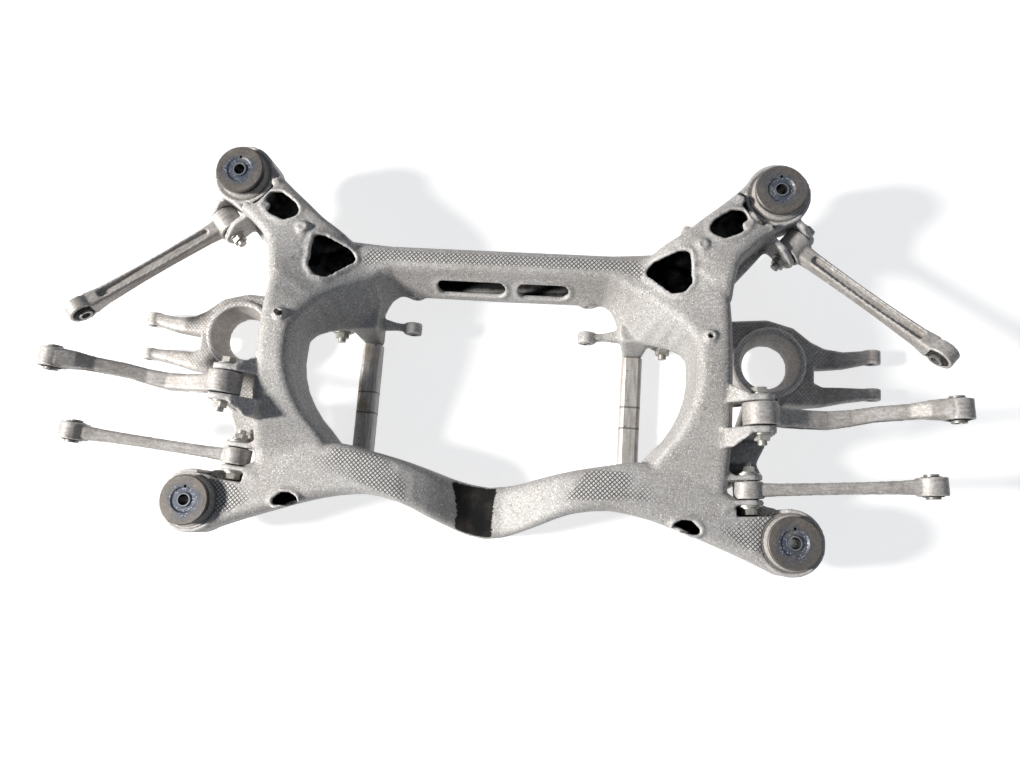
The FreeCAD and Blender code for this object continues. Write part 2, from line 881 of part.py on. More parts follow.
def casting_half():
    main = member(main_sections(), MAIN_RADII, MAIN_PARTS)
    ear = member(ear_sections(), EAR_RADII, EAR_PARTS)
    rear = member(rear_sections(), REAR_RADII, REAR_PARTS)
    wall = size("wall")
    cores = [
        member(main_sections(), MAIN_RADII, MAIN_PARTS, wall),
        member(ear_sections(), EAR_RADII, EAR_PARTS, wall),
        member(rear_sections(), REAR_RADII, REAR_PARTS, wall),
    ]
    shell = main.fuse([ear, rear] + window_rims())
    land = size("mount_front_land")
    foot = Vector(size("mount_front_x"), size("mount_front_y"), land)
    step = rod(size("ring_step_radius"), foot, foot + UP * 60)
    hollow = cores[0].fuse(cores[1:])
    solid = shell.cut([hollow, step])
    bosses, screw_holes = screw_bosses()
    extras = ring_bosses() + legs() + camber_ears() + toe_ears() + front_ears() + arm_ears() + diff_lugs()
    extras += [bracket_shelf(), front_skirt(), head_pocket(5.0).common(rear)]
    extras += round_marks()
    solid = solid.fuse(extras + bosses)
    cuts = bores() + rooms() + screw_holes + [head_pocket(0.0)]
    lobe = rod(size("lobe_radius"), Vector(397, 215, 0), Vector(397, 215, size("rail_top") + 40))
    for outline, depth, radius in windows():
        cuts.append(prism(outline, depth, depth + 120, radius).cut(lobe))
    return solid.cut(cuts)


def casting():
    half = casting_half()
    whole = half.fuse(mirrored(half))
    nub = rod(size("boss_radius"), Vector(304, 209, size("cross_bottom") + 44), Vector(304, 209, size("mount_front_land")))
    near = size("cross_lip") - 20
    far = size("cross_front") - 20
    slots = [plate(outline, near, far, 15.0) for outline in slot_outlines()]
    return whole.fuse(slot_rims() + [nub]).cut(slots).removeSplitter()


# Turned, sawn and pressed pieces

def origin_plane(body, role):
    for item in body.Origin.OriginFeatures:
        if item.Role == role:
            return item


def section_sketch(body, name, corners):
    """A closed section on the XZ plane of a body, every corner tied to the sheet."""
    sketch = body.newObject("Sketcher::SketchObject", name)
    sketch.AttachmentSupport = [(origin_plane(body, "XZ_Plane"), "")]
    sketch.MapMode = "FlatFace"
    points = [Vector(amount(across), amount(up), 0) for across, up in corners]
    count = len(points)
    for i, point in enumerate(points):
        sketch.addGeometry(Part.LineSegment(point, points[(i + 1) % count]), False)
    for i in range(count):
        sketch.addConstraint(Sketcher.Constraint("Coincident", i, 2, (i + 1) % count, 1))
    for i, (across, up) in enumerate(corners):
        for kind, formula, value in (("DistanceX", across, points[i].x), ("DistanceY", up, points[i].y)):
            index = sketch.addConstraint(Sketcher.Constraint(kind, -1, 1, i, 1, value))
            sketch.setExpression("Constraints[%d]" % index, bound(formula))
    return sketch


def turned(label, corners, place):
    """A piece turned about its own Z axis from a section of radius and height."""
    body = doc.addObject("PartDesign::Body", label)
    sketch = section_sketch(body, label + "_section", corners)
    turn = body.newObject("PartDesign::Revolution", label + "_turn")
    turn.Profile = sketch
    turn.ReferenceAxis = (sketch, ["V_Axis"])
    turn.Angle = 360.0
    body.Placement = place
    return body


def tube(label, outer, inner, low, high, place):
    return turned(label, [(inner, low), (outer, low), (outer, high), (inner, high)], place)


def cylinder(name, radius, height, base):
    item = doc.addObject("Part::Cylinder", name)
    item.setExpression("Radius", bound(radius))
    item.setExpression("Height", bound(height))
    item.setExpression("Placement.Base.z", bound(base))
    return item


def hexagon(name, height, base):
    item = doc.addObject("Part::Prism", name)
    item.Polygon = 6
    item.setExpression("Circumradius", "Sizes.hex_flats / 2 / cos(30)")
    item.setExpression("Height", bound(height))
    item.setExpression("Placement.Base.z", bound(base))
    return item


def bolt(name, length, place):
    """A flanged hexagon bolt: the underside of the flange is at its own zero, the shank runs up Z."""
    head = hexagon(name + "_head", "head_height", "0 - flange_thick - head_height")
    flange = cylinder(name + "_flange", "flange_radius", "flange_thick", "0 - flange_thick")
    shank = cylinder(name + "_shank", "bolt_radius", length, "0")
    whole = doc.addObject("Part::MultiFuse", name)
    whole.Shapes = [head, flange, shank]
    whole.Placement = place
    return whole


def nut(name, place):
    """A flanged hexagon nut whose flange face is at its own zero."""
    block = hexagon(name + "_block", "nut_height", "0")
    flange = cylinder(name + "_flange", "flange_radius", "flange_thick", "0")
    outside = doc.addObject("Part::MultiFuse", name + "_outside")
    outside.Shapes = [block, flange]
    thread = cylinder(name + "_thread", "bolt_radius", "nut_height + 2", "0 - 1")
    whole = doc.addObject("Part::Cut", name)
    whole.Base = outside
    whole.Tool = thread
    whole.Placement = place
    return whole


def group(label, items):
    """Like pieces that share one node."""
    item = doc.addObject("Part::Compound", label)
    item.Links = items
    return keep(label, item)


SIDES = (("right", 1.0), ("left", -1.0))


def aimed(x, y, z, along, side):
    """A placement whose Z axis runs along a direction, mirrored for the left side."""
    base = Vector(side * x, y, z)
    return Placement(base, Rotation(UP, Vector(side * along.x, along.y, along.z)))


# Body mounts

def mount_can(label, place):
    return keep(label, tube(label, "can_radius", "can_radius - can_wall", "0 - ring_depth + 2", "can_stand", place))


def mount_rubber(label, place):
    """Rubber between can and core, with a bumper that stands up to the disc."""
    return keep(label, turned(label, [
        ("core_radius", "0 - rubber_reach"),
        ("can_radius - can_wall - 8", "0 - rubber_reach"),
        ("can_radius - can_wall", "0 - rubber_reach + 8"),
        ("can_radius - can_wall", "can_stand - 1"),
        ("rubber_waist + 2", "can_stand + 2"),
        ("rubber_waist", "disc_lift - disc_thick - 3"),
        ("rubber_waist - 3", "disc_lift - disc_thick"),
        ("disc_radius - 20", "disc_lift - disc_thick"),
        ("disc_radius - 23", "disc_lift - disc_thick - disc_dish"),
        ("core_radius", "disc_lift - disc_thick - disc_dish"),
    ], place))


def mount_core(label, place):
    """Steel core and pressed disc, with a raised rim round the bolt hole and a small hole beside it."""
    blank = turned(label + "_blank", [
        ("core_bore", "0 - core_reach"),
        ("core_radius", "0 - core_reach"),
        ("core_radius", "disc_lift - disc_thick - disc_dish"),
        ("disc_radius - 23", "disc_lift - disc_thick - disc_dish"),
        ("disc_radius - 20", "disc_lift - disc_thick"),
        ("disc_radius - 2", "disc_lift - disc_thick"),
        ("disc_radius", "disc_lift - disc_thick + 1"),
        ("disc_radius", "disc_lift - 2"),
        ("disc_radius - 2", "disc_lift"),
        ("disc_radius - 19", "disc_lift"),
        ("disc_radius - 22", "disc_lift - disc_dish"),
        ("rim_radius", "disc_lift - disc_dish"),
        ("rim_radius - 1", "disc_lift"),
        ("core_bore", "disc_lift"),
    ], place)
    drill = doc.addObject("Part::Cylinder", label + "_drill")
    drill.setExpression("Radius", bound("disc_hole"))
    drill.Height = 60.0
    drill.Placement = Placement(place.Base + FORE * size("disc_hole_offset") + UP * 3, Rotation())
    whole = doc.addObject("Part::Cut", label)
    whole.Base = blank
    whole.Tool = drill
    return keep(label, whole)


def body_mounts():
    for end in ("front", "rear"):
        for name, side in SIDES:
            x = size("mount_%s_x" % end) * side
            place = Placement(Vector(x, size("mount_%s_y" % end), size("mount_%s_land" % end)), Rotation())
            mount_can("mount_can_%s_%s" % (end, name), place)
            mount_rubber("mount_rubber_%s_%s" % (end, name), place)
            mount_core("mount_core_%s_%s" % (end, name), place)


# Lower bars

def lower_bar(label, x):
    """A flat bar from leg to leg, its two upper edges cut back."""
    body = doc.addObject("PartDesign::Body", label)
    sketch = section_sketch(body, label + "_section", [
        ("0 - bar_width/2", "0"),
        ("bar_width/2", "0"),
        ("bar_width/2", "bar_height - bar_round"),
        ("bar_width/2 - bar_round/3", "bar_height - bar_round/3"),
        ("bar_width/2 - bar_round", "bar_height"),
        ("bar_round - bar_width/2", "bar_height"),
        ("bar_round/3 - bar_width/2", "bar_height - bar_round/3"),
        ("0 - bar_width/2", "bar_height - bar_round"),
    ])
    pad = body.newObject("PartDesign::Pad", label + "_length")
    pad.Profile = sketch
    pad.setExpression("Length", bound("bar_front - bar_rear"))
    body.Placement = Placement(Vector(x, size("bar_front"), 0), Rotation())
    keep(label, body)


# Links

def trail(stations, round_by, parts=2):
    """A forged arm in plan: rounded sections square to its heading at each place on its way."""
    rings = []
    for x, y, z, wide, tall, heading in stations:
        turn = math.radians(heading)
        across = Vector(-math.sin(turn), math.cos(turn), 0) * (wide / 2)
        up = UP * (tall / 2)
        centre = Vector(x, y, z)
        corners = [centre - across - up, centre + across - up, centre + across + up, centre - across + up]
        rings.append(corner_points(corners, [min(round_by, wide / 2.2, tall / 2.2)] * 4, [parts] * 4))
    return skin(rings)


def eye_pair(name, centre, axis):
    """Outside and bore of a link eye."""
    half = axis * (size(name + "_length") / 2)
    beyond = axis * (size(name + "_length") / 2 + 2)
    radius = size(name + "_eye")
    bush = size(name + "_bush")
    return rod(radius, centre - half, centre + half), rod(bush, centre - beyond, centre + beyond)


def forged_link(body, pockets, name, inner, outer, axis):
    first, first_bore = eye_pair(name + "_in", inner, axis)
    second, second_bore = eye_pair(name + "_out", outer, axis)
    solid = body.fuse([first, second])
    return solid.cut(pockets + [first_bore, second_bore])


def front_link():
    """The front link in its own frame: length on X, bolt axes on Y; a groove above and below."""
    place, axis, length = front_frame()
    start = size("front_in_eye") - 8
    end = length - size("front_out_eye") + 8
    stations = [
        (start, 0, 0, 28, 30, 0),
        (start + 26, 0, 0, 25, 26, 0),
        (length / 2 - 30, 0, 0, 24, 22, 0),
        (length / 2 + 30, 0, 0, 24, 22, 0),
        (end - 26, 0, 0, 26, 27, 0),
        (end, 0, 0, 30, 34, 0),
    ]
    pockets = []
    for low, high in ((-30, -6), (6, 30)):
        groove = prism([
            (start + 22, -7), (end - 20, -7), (end - 20, 7), (start + 22, 7),
        ], low, high, 5.0)
        pockets.append(groove)
    shape = forged_link(trail(stations, 5.0), pockets, "front", Vector(), Vector(length, 0, 0), FORE)
    shape.Placement = place
    return shape


def camber_link():
    """The upper link, dipped in the middle and hollowed on both flanks."""
    inner = link_end("camber", "in")
    outer = link_end("camber", "out")
    dip = size("camber_bow")
    stations = [
        (inner.x + 14, inner.y, inner.z - 4, 30, 38, 2),
        (inner.x + 42, inner.y - 1, inner.z - 18, 29, 32, 3),
        (inner.x + 75, inner.y, inner.z - dip + 4, 28, 27, 4),
        (inner.x + 108, inner.y + 1, inner.z - dip, 28, 24, 5),
        (inner.x + 140, inner.y + 6, inner.z - dip + 3, 25, 24, 6),
        (inner.x + 175, inner.y + 13, inner.z - dip + 14, 23, 26, 6),
        (inner.x + 215, outer.y - 4, outer.z - 26, 23, 30, 4),
        (outer.x - 40, outer.y - 1, outer.z - 11, 26, 34, 2),
        (outer.x - 14, outer.y, outer.z - 2, 30, 40, 0),
    ]
    pockets = []
    for side in (-1, 1):
        hollow = [(x, y + side * (wide / 2 + 1), z, 12, tall - 13, heading)
                  for x, y, z, wide, tall, heading in stations[1:-1]]
        pockets.append(trail(hollow, 2.0, 1))
    return forged_link(trail(stations, 5.0), pockets, "camber", inner, outer, link_axis("camber"))


def toe_link():
    """The rear link, nearly straight and hollowed on both flanks."""
    inner = link_end("toe", "in")
    outer = link_end("toe", "out")
    run = outer - inner
    stations = []
    for share, wide, tall in ((0.05, 22, 28), (0.16, 20, 24), (0.38, 19, 21), (0.62, 19, 21),
                              (0.84, 21, 25), (0.95, 24, 32)):
        centre = inner + run * share
        stations.append((centre.x, centre.y, centre.z, wide, tall, 4.4))
    pockets = []
    for side in (-1, 1):
        hollow = [(x, y + side * (wide / 2 + 1), z, 9, tall - 10, heading)
                  for x, y, z, wide, tall, heading in stations[1:-1]]
        pockets.append(trail(hollow, 2.0, 1))
    return forged_link(trail(stations, 4.0), pockets, "toe", inner, outer, link_axis("toe"))


def lower_arm():
    """The forged lower arm: two legs to its inner pivots, a ring for the damper and a fork outside."""
    x = size("arm_pivot_x")
    z = size("arm_pivot_z")
    front = size("arm_front_y")
    rear = size("arm_rear_y")
    ring = Vector(size("arm_ring_x"), size("arm_ring_y"), 0)
    tip_x = size("arm_tip_x")
    tip_z = size("arm_tip_z")
    fork_front = size("arm_fork_front")
    fork_rear = size("arm_fork_rear")
    middle = (size("arm_top") + size("arm_bottom")) / 2
    tall = size("arm_top") - size("arm_bottom")
    front_leg = trail([
        (x + 14, front, z, 40, 36, 0),
        (x + 60, front - 2, z - 4, 40, 34, -2),
        (x + 105, front - 5, z + 1, 46, 42, -2),
        (ring.x - 8, ring.y + 40, middle, 72, tall, -6),
        (ring.x + 28, ring.y + 31, middle, 70, tall, -20),
        (ring.x + 62, ring.y + 20, middle - 4, 50, tall - 8, -22),
        (ring.x + 96, fork_front - 11, middle - 11, 36, tall - 18, -6),
        (tip_x - 50, fork_front - 9, tip_z + 4, 28, 31, 8),
        (tip_x - 6, fork_front, tip_z, 23, 26, 3),
    ], 7.0)
    rear_leg = trail([
        (x + 14, rear, z, 40, 36, 0),
        (x + 56, rear + 2, z - 4, 40, 34, 6),
        (x + 108, rear + 22, z - 3, 42, 36, 42),
        (x + 138, rear + 64, z, 44, 42, 66),
        (ring.x - 14, ring.y - 82, middle - 2, 50, tall - 6, 66),
        (ring.x + 10, ring.y - 44, middle, 62, tall, 36),
        (ring.x + 56, ring.y - 43, middle - 3, 54, tall - 8, 6),
        (ring.x + 96, fork_rear - 11, middle - 12, 33, tall - 20, 4),
        (tip_x - 50, fork_rear - 5, tip_z + 4, 26, 30, 6),
        (tip_x - 6, fork_rear, tip_z, 19, 26, 3),
    ], 7.0)
    web = prism([
        (ring.x + 30, ring.y - 40), (ring.x + 78, ring.y - 34), (ring.x + 78, ring.y + 34), (ring.x + 30, ring.y + 40),
    ], middle - 16, middle + 12, 6.0)
    collar = rod(size("arm_ring_radius"), ring + UP * size("arm_bottom"), ring + UP * size("arm_ring_top"))
    parts = [rear_leg, web, collar]
    floor = ring + UP * size("arm_cup_floor")
    deep = size("arm_ring_top") - size("arm_cup_floor")
    bores = [
        rod(size("arm_ring_bore"), ring, ring + UP * 120),
        Part.makeCone(size("arm_ring_bore"), size("arm_cup_radius"), deep, floor, UP),
    ]
    for y in (front, rear):
        for_eye, bore = eye_pair_at(Vector(x, y, z))
        parts.append(for_eye)
        bores.append(bore)
    for y, wide in ((fork_front, 24.0), (fork_rear, size("arm_prong"))):
        near = Vector(tip_x, y - wide / 2, tip_z)
        far = Vector(tip_x, y + wide / 2, tip_z)
        parts.append(rod(size("arm_tip_radius"), near, far))
        bores.append(rod(size("arm_tip_bore"), near - FORE * 4, far + FORE * 4))
    return front_leg.fuse(parts).cut(bores)


def eye_pair_at(centre):
    """Outside and bore of an inner eye of the lower arm."""
    half = size("arm_eye_length") / 2
    outside = rod(size("arm_eye"), centre - FORE * half, centre + FORE * half)
    bore = rod(size("arm_bush"), centre - FORE * (half + 2), centre + FORE * (half + 2))
    return outside, bore


def bush(label, radius, length, hole, place):
    """A rubber bush with a lip at each end, centred on its own zero."""
    end = length + "/2"
    return keep(label, turned(label, [
        (hole, "0 - %s - bush_lip/2" % end),
        (radius + " - bush_lip_inset", "0 - %s - bush_lip/2" % end),
        (radius, "0 - %s + 1" % end),
        (radius, "%s - 1" % end),
        (radius + " - bush_lip_inset", "%s + bush_lip/2" % end),
        (hole, "%s + bush_lip/2" % end),
    ], place))


def at_pivot(key, side, shift=0.0, flip=False):
    """A placement at a pivot, moved along its axis; flip turns the piece to face the other way."""
    point, axis = pivots()[key]
    spot = point + axis * shift
    way = axis * (-1.0 if flip else 1.0)
    return aimed(spot.x, spot.y, spot.z, way, side)


def links():
    shapes = {"front": front_link(), "camber": camber_link(), "toe": toe_link()}
    for name, side in SIDES:
        for link, shape in shapes.items():
            plain("%s_link_%s" % (link, name), shape if side > 0 else mirrored(shape))
            inside = link + "_in_length"
            outside = link + "_out_length"
            running = "sleeve_radius + running_gap"
            bush("%s_link_inner_bush_%s" % (link, name), link + "_in_bush", inside, running,
                 at_pivot(link + "_in", side))
            bush("%s_link_outer_bush_%s" % (link, name), link + "_out_bush", outside, "sleeve_radius",
                 at_pivot(link + "_out", side))
            label = "%s_link_outer_sleeve_%s" % (link, name)
            reach = outside + "/2 + sleeve_stand"
            keep(label, tube(label, "sleeve_radius", "bolt_radius + bolt_clear",
                             "0 - %s - sleeve_stand" % (outside + "/2"), reach, at_pivot(link + "_out", side)))
        arm = lower_arm()
        plain("lower_arm_%s" % name, arm if side > 0 else mirrored(arm))
        for end in ("front", "rear"):
            bush("arm_%s_bush_%s" % (end, name), "arm_bush", "arm_eye_length", "sleeve_radius + running_gap",
                 at_pivot("arm_" + end, side))


def pivot_hardware():
    """Inner sleeves, bolts, nuts and cam washers, all clamped to the casting."""
    kinds = (
        ("front_link", (("front_in", "front_in_length"),), "ear_thick"),
        ("camber_link", (("camber_in", "camber_in_length"),), "ear_thick"),
        ("toe_link", (("toe_in", "toe_in_length"),), "toe_ear_thick"),
        ("lower_arm", (("arm_front", "arm_eye_length"), ("arm_rear", "arm_eye_length")), "ear_thick"),
    )
    nuts = []
    washers = []
    for kind, ends, ear in kinds:
        sleeves = []
        bolts = []
        for key, length in ends:
            toe = kind == "toe_link"
            reach = "%s/2 + side_gap" % length
            stack = "%s + %s + %s" % (reach, ear, "cam_thick" if toe else "0")
            half = amount(stack)
            for name, side in SIDES:
                tag = "%s_%s" % (key, name)
                sleeves.append(tube(tag + "_sleeve", "sleeve_radius", "bolt_radius",
                                    "0 - %s/2 - side_gap" % length, reach, at_pivot(key, side)))
                bolts.append(bolt(tag + "_bolt", "%s + %s + nut_height + thread_end" % (stack, stack),
                                  at_pivot(key, side, -half if toe else half, not toe)))
                nuts.append(nut(tag + "_nut", at_pivot(key, side, half if toe else -half, not toe)))
                if toe:
                    for way in (1.0, -1.0):
                        place = at_pivot(key, side, way * (half - size("cam_thick")), way < 0.0)
                        washers.append(cam_washer("%s_cam_%s" % (tag, "front" if way > 0.0 else "rear"), place))
        group(kind + "_pivot_sleeves", sleeves)
        group(kind + "_bolts", bolts)
    group("pivot_nuts", nuts)
    group("cam_washers", washers)


def cam_washer(name, place):
    """A washer of the toe bolt, which sets the toe angle when it is turned."""
    return turned(name, [
        ("bolt_radius", "0"),
        ("cam_radius", "0"),
        ("cam_radius", "cam_thick"),
        ("bolt_radius", "cam_thick"),
    ], place)


def small_pieces():
    inserts = []
    for name, side in SIDES:
        place = aimed(size("lug_x"), size("stub_y"), size("lug_z"), FORE, side)
        inserts.append(tube("stub_insert_%s" % name, "insert_radius", "insert_bore",
                            "0 - lug_length/2 - 1", "lug_length/2 + 1", place))
    group("stub_inserts", inserts)
    stud = doc.addObject("Part::Cylinder", "side_stud_left")
    stud.setExpression("Radius", bound("stud_radius"))
    stud.setExpression("Height", bound("stud_height + 14"))
    stud.Placement = Placement(Vector(-size("side_boss_x"), size("side_boss_y"), size("side_boss_z") - 14), Rotation())
    keep("side_stud_left", stud)


plain("subframe_casting", casting())
body_mounts()
lower_bar("lower_bar_right", size("bar_middle"))
lower_bar("lower_bar_left", -size("bar_middle"))
links()
pivot_hardware()
small_pieces()
doc.recompute()

for item in doc.Objects:
    if "Invalid" in item.State or "Error" in item.State:
        raise RuntimeError("%s did not build" % item.Name)
for label, item in NODES.items():
    if item.Shape.isNull() or not item.Shape.isValid():
        raise RuntimeError("%s is not a valid solid" % label)

os.makedirs("parts", exist_ok=True)
for label, item in NODES.items():
    item.Shape.exportStep("parts/%s.step" % label)
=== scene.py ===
import json
import math

import bpy
import numpy as np
from mathutils import Matrix, Vector
from mathutils.bvhtree import BVHTree


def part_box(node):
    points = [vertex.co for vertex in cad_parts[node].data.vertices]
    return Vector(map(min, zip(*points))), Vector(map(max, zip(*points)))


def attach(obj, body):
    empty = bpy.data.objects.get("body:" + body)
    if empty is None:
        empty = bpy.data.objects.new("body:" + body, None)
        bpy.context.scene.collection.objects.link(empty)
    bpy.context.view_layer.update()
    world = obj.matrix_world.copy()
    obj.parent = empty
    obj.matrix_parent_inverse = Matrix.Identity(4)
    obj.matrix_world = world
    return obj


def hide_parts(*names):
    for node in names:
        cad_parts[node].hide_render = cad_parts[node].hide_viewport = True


# Rear axle beam: looks of the cast subframe, its rubber mounts, bars, links and arms.
# Metres; +X right, +Y front, +Z up.

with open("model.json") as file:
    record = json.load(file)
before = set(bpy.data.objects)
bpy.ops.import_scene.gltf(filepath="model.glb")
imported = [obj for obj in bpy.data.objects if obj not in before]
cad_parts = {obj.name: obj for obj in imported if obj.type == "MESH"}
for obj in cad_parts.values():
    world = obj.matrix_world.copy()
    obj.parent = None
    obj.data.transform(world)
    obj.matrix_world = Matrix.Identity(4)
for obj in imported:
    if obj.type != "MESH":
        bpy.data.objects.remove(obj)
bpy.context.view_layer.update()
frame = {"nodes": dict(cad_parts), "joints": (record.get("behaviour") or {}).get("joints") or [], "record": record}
NODES = frame["nodes"]
RECORD = frame["record"]
JOINTS = {joint["name"]: joint for joint in frame["joints"]}
MOUNTS = {mount["name"]: mount for mount in RECORD["mounts"]}
SIDES = (("right", 1.0), ("left", -1.0))
rng = np.random.default_rng(7)


# Camera, light and floor

IMAGE_WIDTH = 1020.0
FOCAL_PIXELS = 808.92
SENSOR = 36.0
EYE = Vector((0.13655, -0.27633, 1.43733))
EYE_RIGHT = Vector((0.9951, 0.0704, -0.0690))
EYE_DOWN = Vector((0.0574, -0.9829, -0.1747))
EYE_AHEAD = Vector((-0.0802, 0.1699, -0.9822))


FLOOR_REACH = 6.0
FLOOR_GAP = 0.0005


def make_camera():
    data = bpy.data.cameras.new("camera")
    data.sensor_width = SENSOR
    data.sensor_fit = "HORIZONTAL"
    data.lens = FOCAL_PIXELS / IMAGE_WIDTH * SENSOR
    data.clip_start = 0.05
    data.clip_end = 50.0
    camera = bpy.data.objects.new("camera", data)
    turn = Matrix((EYE_RIGHT, -EYE_DOWN, -EYE_AHEAD)).transposed()
    camera.matrix_world = Matrix.Translation(EYE) @ turn.to_4x4()
    bpy.context.scene.collection.objects.link(camera)
    bpy.context.scene.camera = camera


def area_light(name, place, target, size, power, colour):
    data = bpy.data.lights.new(name, "AREA")
    data.shape = "DISK"
    data.size = size
    data.energy = power
    data.color = colour
    lamp = bpy.data.objects.new(name, data)
    lamp.location = place
    lamp.rotation_euler = (Vector(target) - Vector(place)).to_track_quat("-Z", "Y").to_euler()
    bpy.context.scene.collection.objects.link(lamp)


def make_lights():
    area_light("key", (-5.9, -1.08, 4.2), (0.0, 0.0, 0.1), 1.0, 800.0, (1.0, 0.975, 0.94))
    area_light("fill", (1.7, 0.7, 2.4), (0.1, 0.0, 0.1), 1.6, 4.0, (0.92, 0.95, 1.0))
    world = bpy.data.worlds.new("studio")
    bpy.context.scene.world = world
    world.use_nodes = True
    sky = world.node_tree.nodes["Background"]
    sky.inputs["Color"].default_value = (0.74, 0.84, 1.0, 1.0)
    sky.inputs["Strength"].default_value = 0.14


def make_floor(material):
    mesh = bpy.data.meshes.new("floor")
    reach = FLOOR_REACH
    corners = [(-reach, -reach, 0), (reach, -reach, 0), (reach, reach, 0), (-reach, reach, 0)]
    mesh.from_pydata(corners, [], [(0, 1, 2, 3)])
    floor = bpy.data.objects.new("floor", mesh)
    floor.location.z = -FLOOR_GAP
    floor.data.materials.append(material)
    bpy.context.scene.collection.objects.link(floor)


# Materials

class Recipe:
    """A node material under construction; every texture runs in object space."""

    def __init__(self, name):
        self.material = bpy.data.materials.new(name)
        self.material.use_nodes = True
        self.tree = self.material.node_tree
        self.shader = self.tree.nodes["Principled BSDF"]
        self.place = self.tree.nodes.new("ShaderNodeTexCoord").outputs["Object"]

    def add(self, kind, **values):
        node = self.tree.nodes.new(kind)
        for name, value in values.items():
            setattr(node, name, value)
        return node

    def feed(self, socket, value):
        if isinstance(value, bpy.types.NodeSocket):
            self.tree.links.new(value, socket)
        else:
            socket.default_value = value

    def stretched(self, scale):
        node = self.add("ShaderNodeMapping")
        self.feed(node.inputs["Vector"], self.place)
        node.inputs["Scale"].default_value = scale
        return node.outputs["Vector"]

    def noise(self, scale, detail=3.0, rough=0.55, place=None):
        node = self.add("ShaderNodeTexNoise")
        self.feed(node.inputs["Vector"], place or self.place)
        node.inputs["Scale"].default_value = scale
        node.inputs["Detail"].default_value = detail
        node.inputs["Roughness"].default_value = rough
        return node.outputs["Fac"]

    def dots(self, scale, radius, share):
        """Sparse round specks: one in so many cells of a Voronoi pattern holds one."""
        node = self.add("ShaderNodeTexVoronoi")
        self.feed(node.inputs["Vector"], self.place)
        node.inputs["Scale"].default_value = scale
        near = self.ramp(node.outputs["Distance"], radius * 0.55, radius, 1.0, 0.0)
        split = self.add("ShaderNodeSeparateColor")
        self.feed(split.inputs[0], node.outputs["Color"])
        chosen = self.math("LESS_THAN", split.outputs[0], share)
        return self.math("MULTIPLY", near, chosen)

    def math(self, operation, first, second=0.0):
        node = self.add("ShaderNodeMath", operation=operation)
        self.feed(node.inputs[0], first)
        self.feed(node.inputs[1], second)
        return node.outputs[0]

    def ramp(self, value, low, high, start=0.0, end=1.0):
        node = self.add("ShaderNodeMapRange", clamp=True)
        self.feed(node.inputs["Value"], value)
        for name, number in (("From Min", low), ("From Max", high), ("To Min", start), ("To Max", end)):
            node.inputs[name].default_value = number
        return node.outputs["Result"]

    def mix(self, share, first, second):
        node = self.add("ShaderNodeMix", data_type="RGBA")
        self.feed(node.inputs[0], share)
        self.feed(node.inputs[6], first)
        self.feed(node.inputs[7], second)
        return node.outputs[2]

    def attribute(self, name):
        return self.add("ShaderNodeAttribute", attribute_name=name).outputs["Fac"]

    def bump(self, height, distance, strength=1.0, under=None):
        node = self.add("ShaderNodeBump")
        self.feed(node.inputs["Height"], height)
        node.inputs["Distance"].default_value = distance
        node.inputs["Strength"].default_value = strength
        if under:
            self.feed(node.inputs["Normal"], under)
        return node.outputs["Normal"]

    def finish(self, colour, roughness, metallic, normal=None):
        self.feed(self.shader.inputs["Base Color"], colour)
        self.feed(self.shader.inputs["Roughness"], roughness)
        self.shader.inputs["Metallic"].default_value = metallic
        if normal:
            self.feed(self.shader.inputs["Normal"], normal)
        return self.material


def rgb(red, green, blue):
    return (red, green, blue, 1.0)


# Near black to dark brown of the dip patch: painted shadow over a dark stain.
def dip_shadow_and_stain_tint(make, patch):
    return make.mix(make.ramp(patch, 0.45, 0.75), rgb(0.009, 0.009, 0.0095), rgb(0.05, 0.042, 0.036))


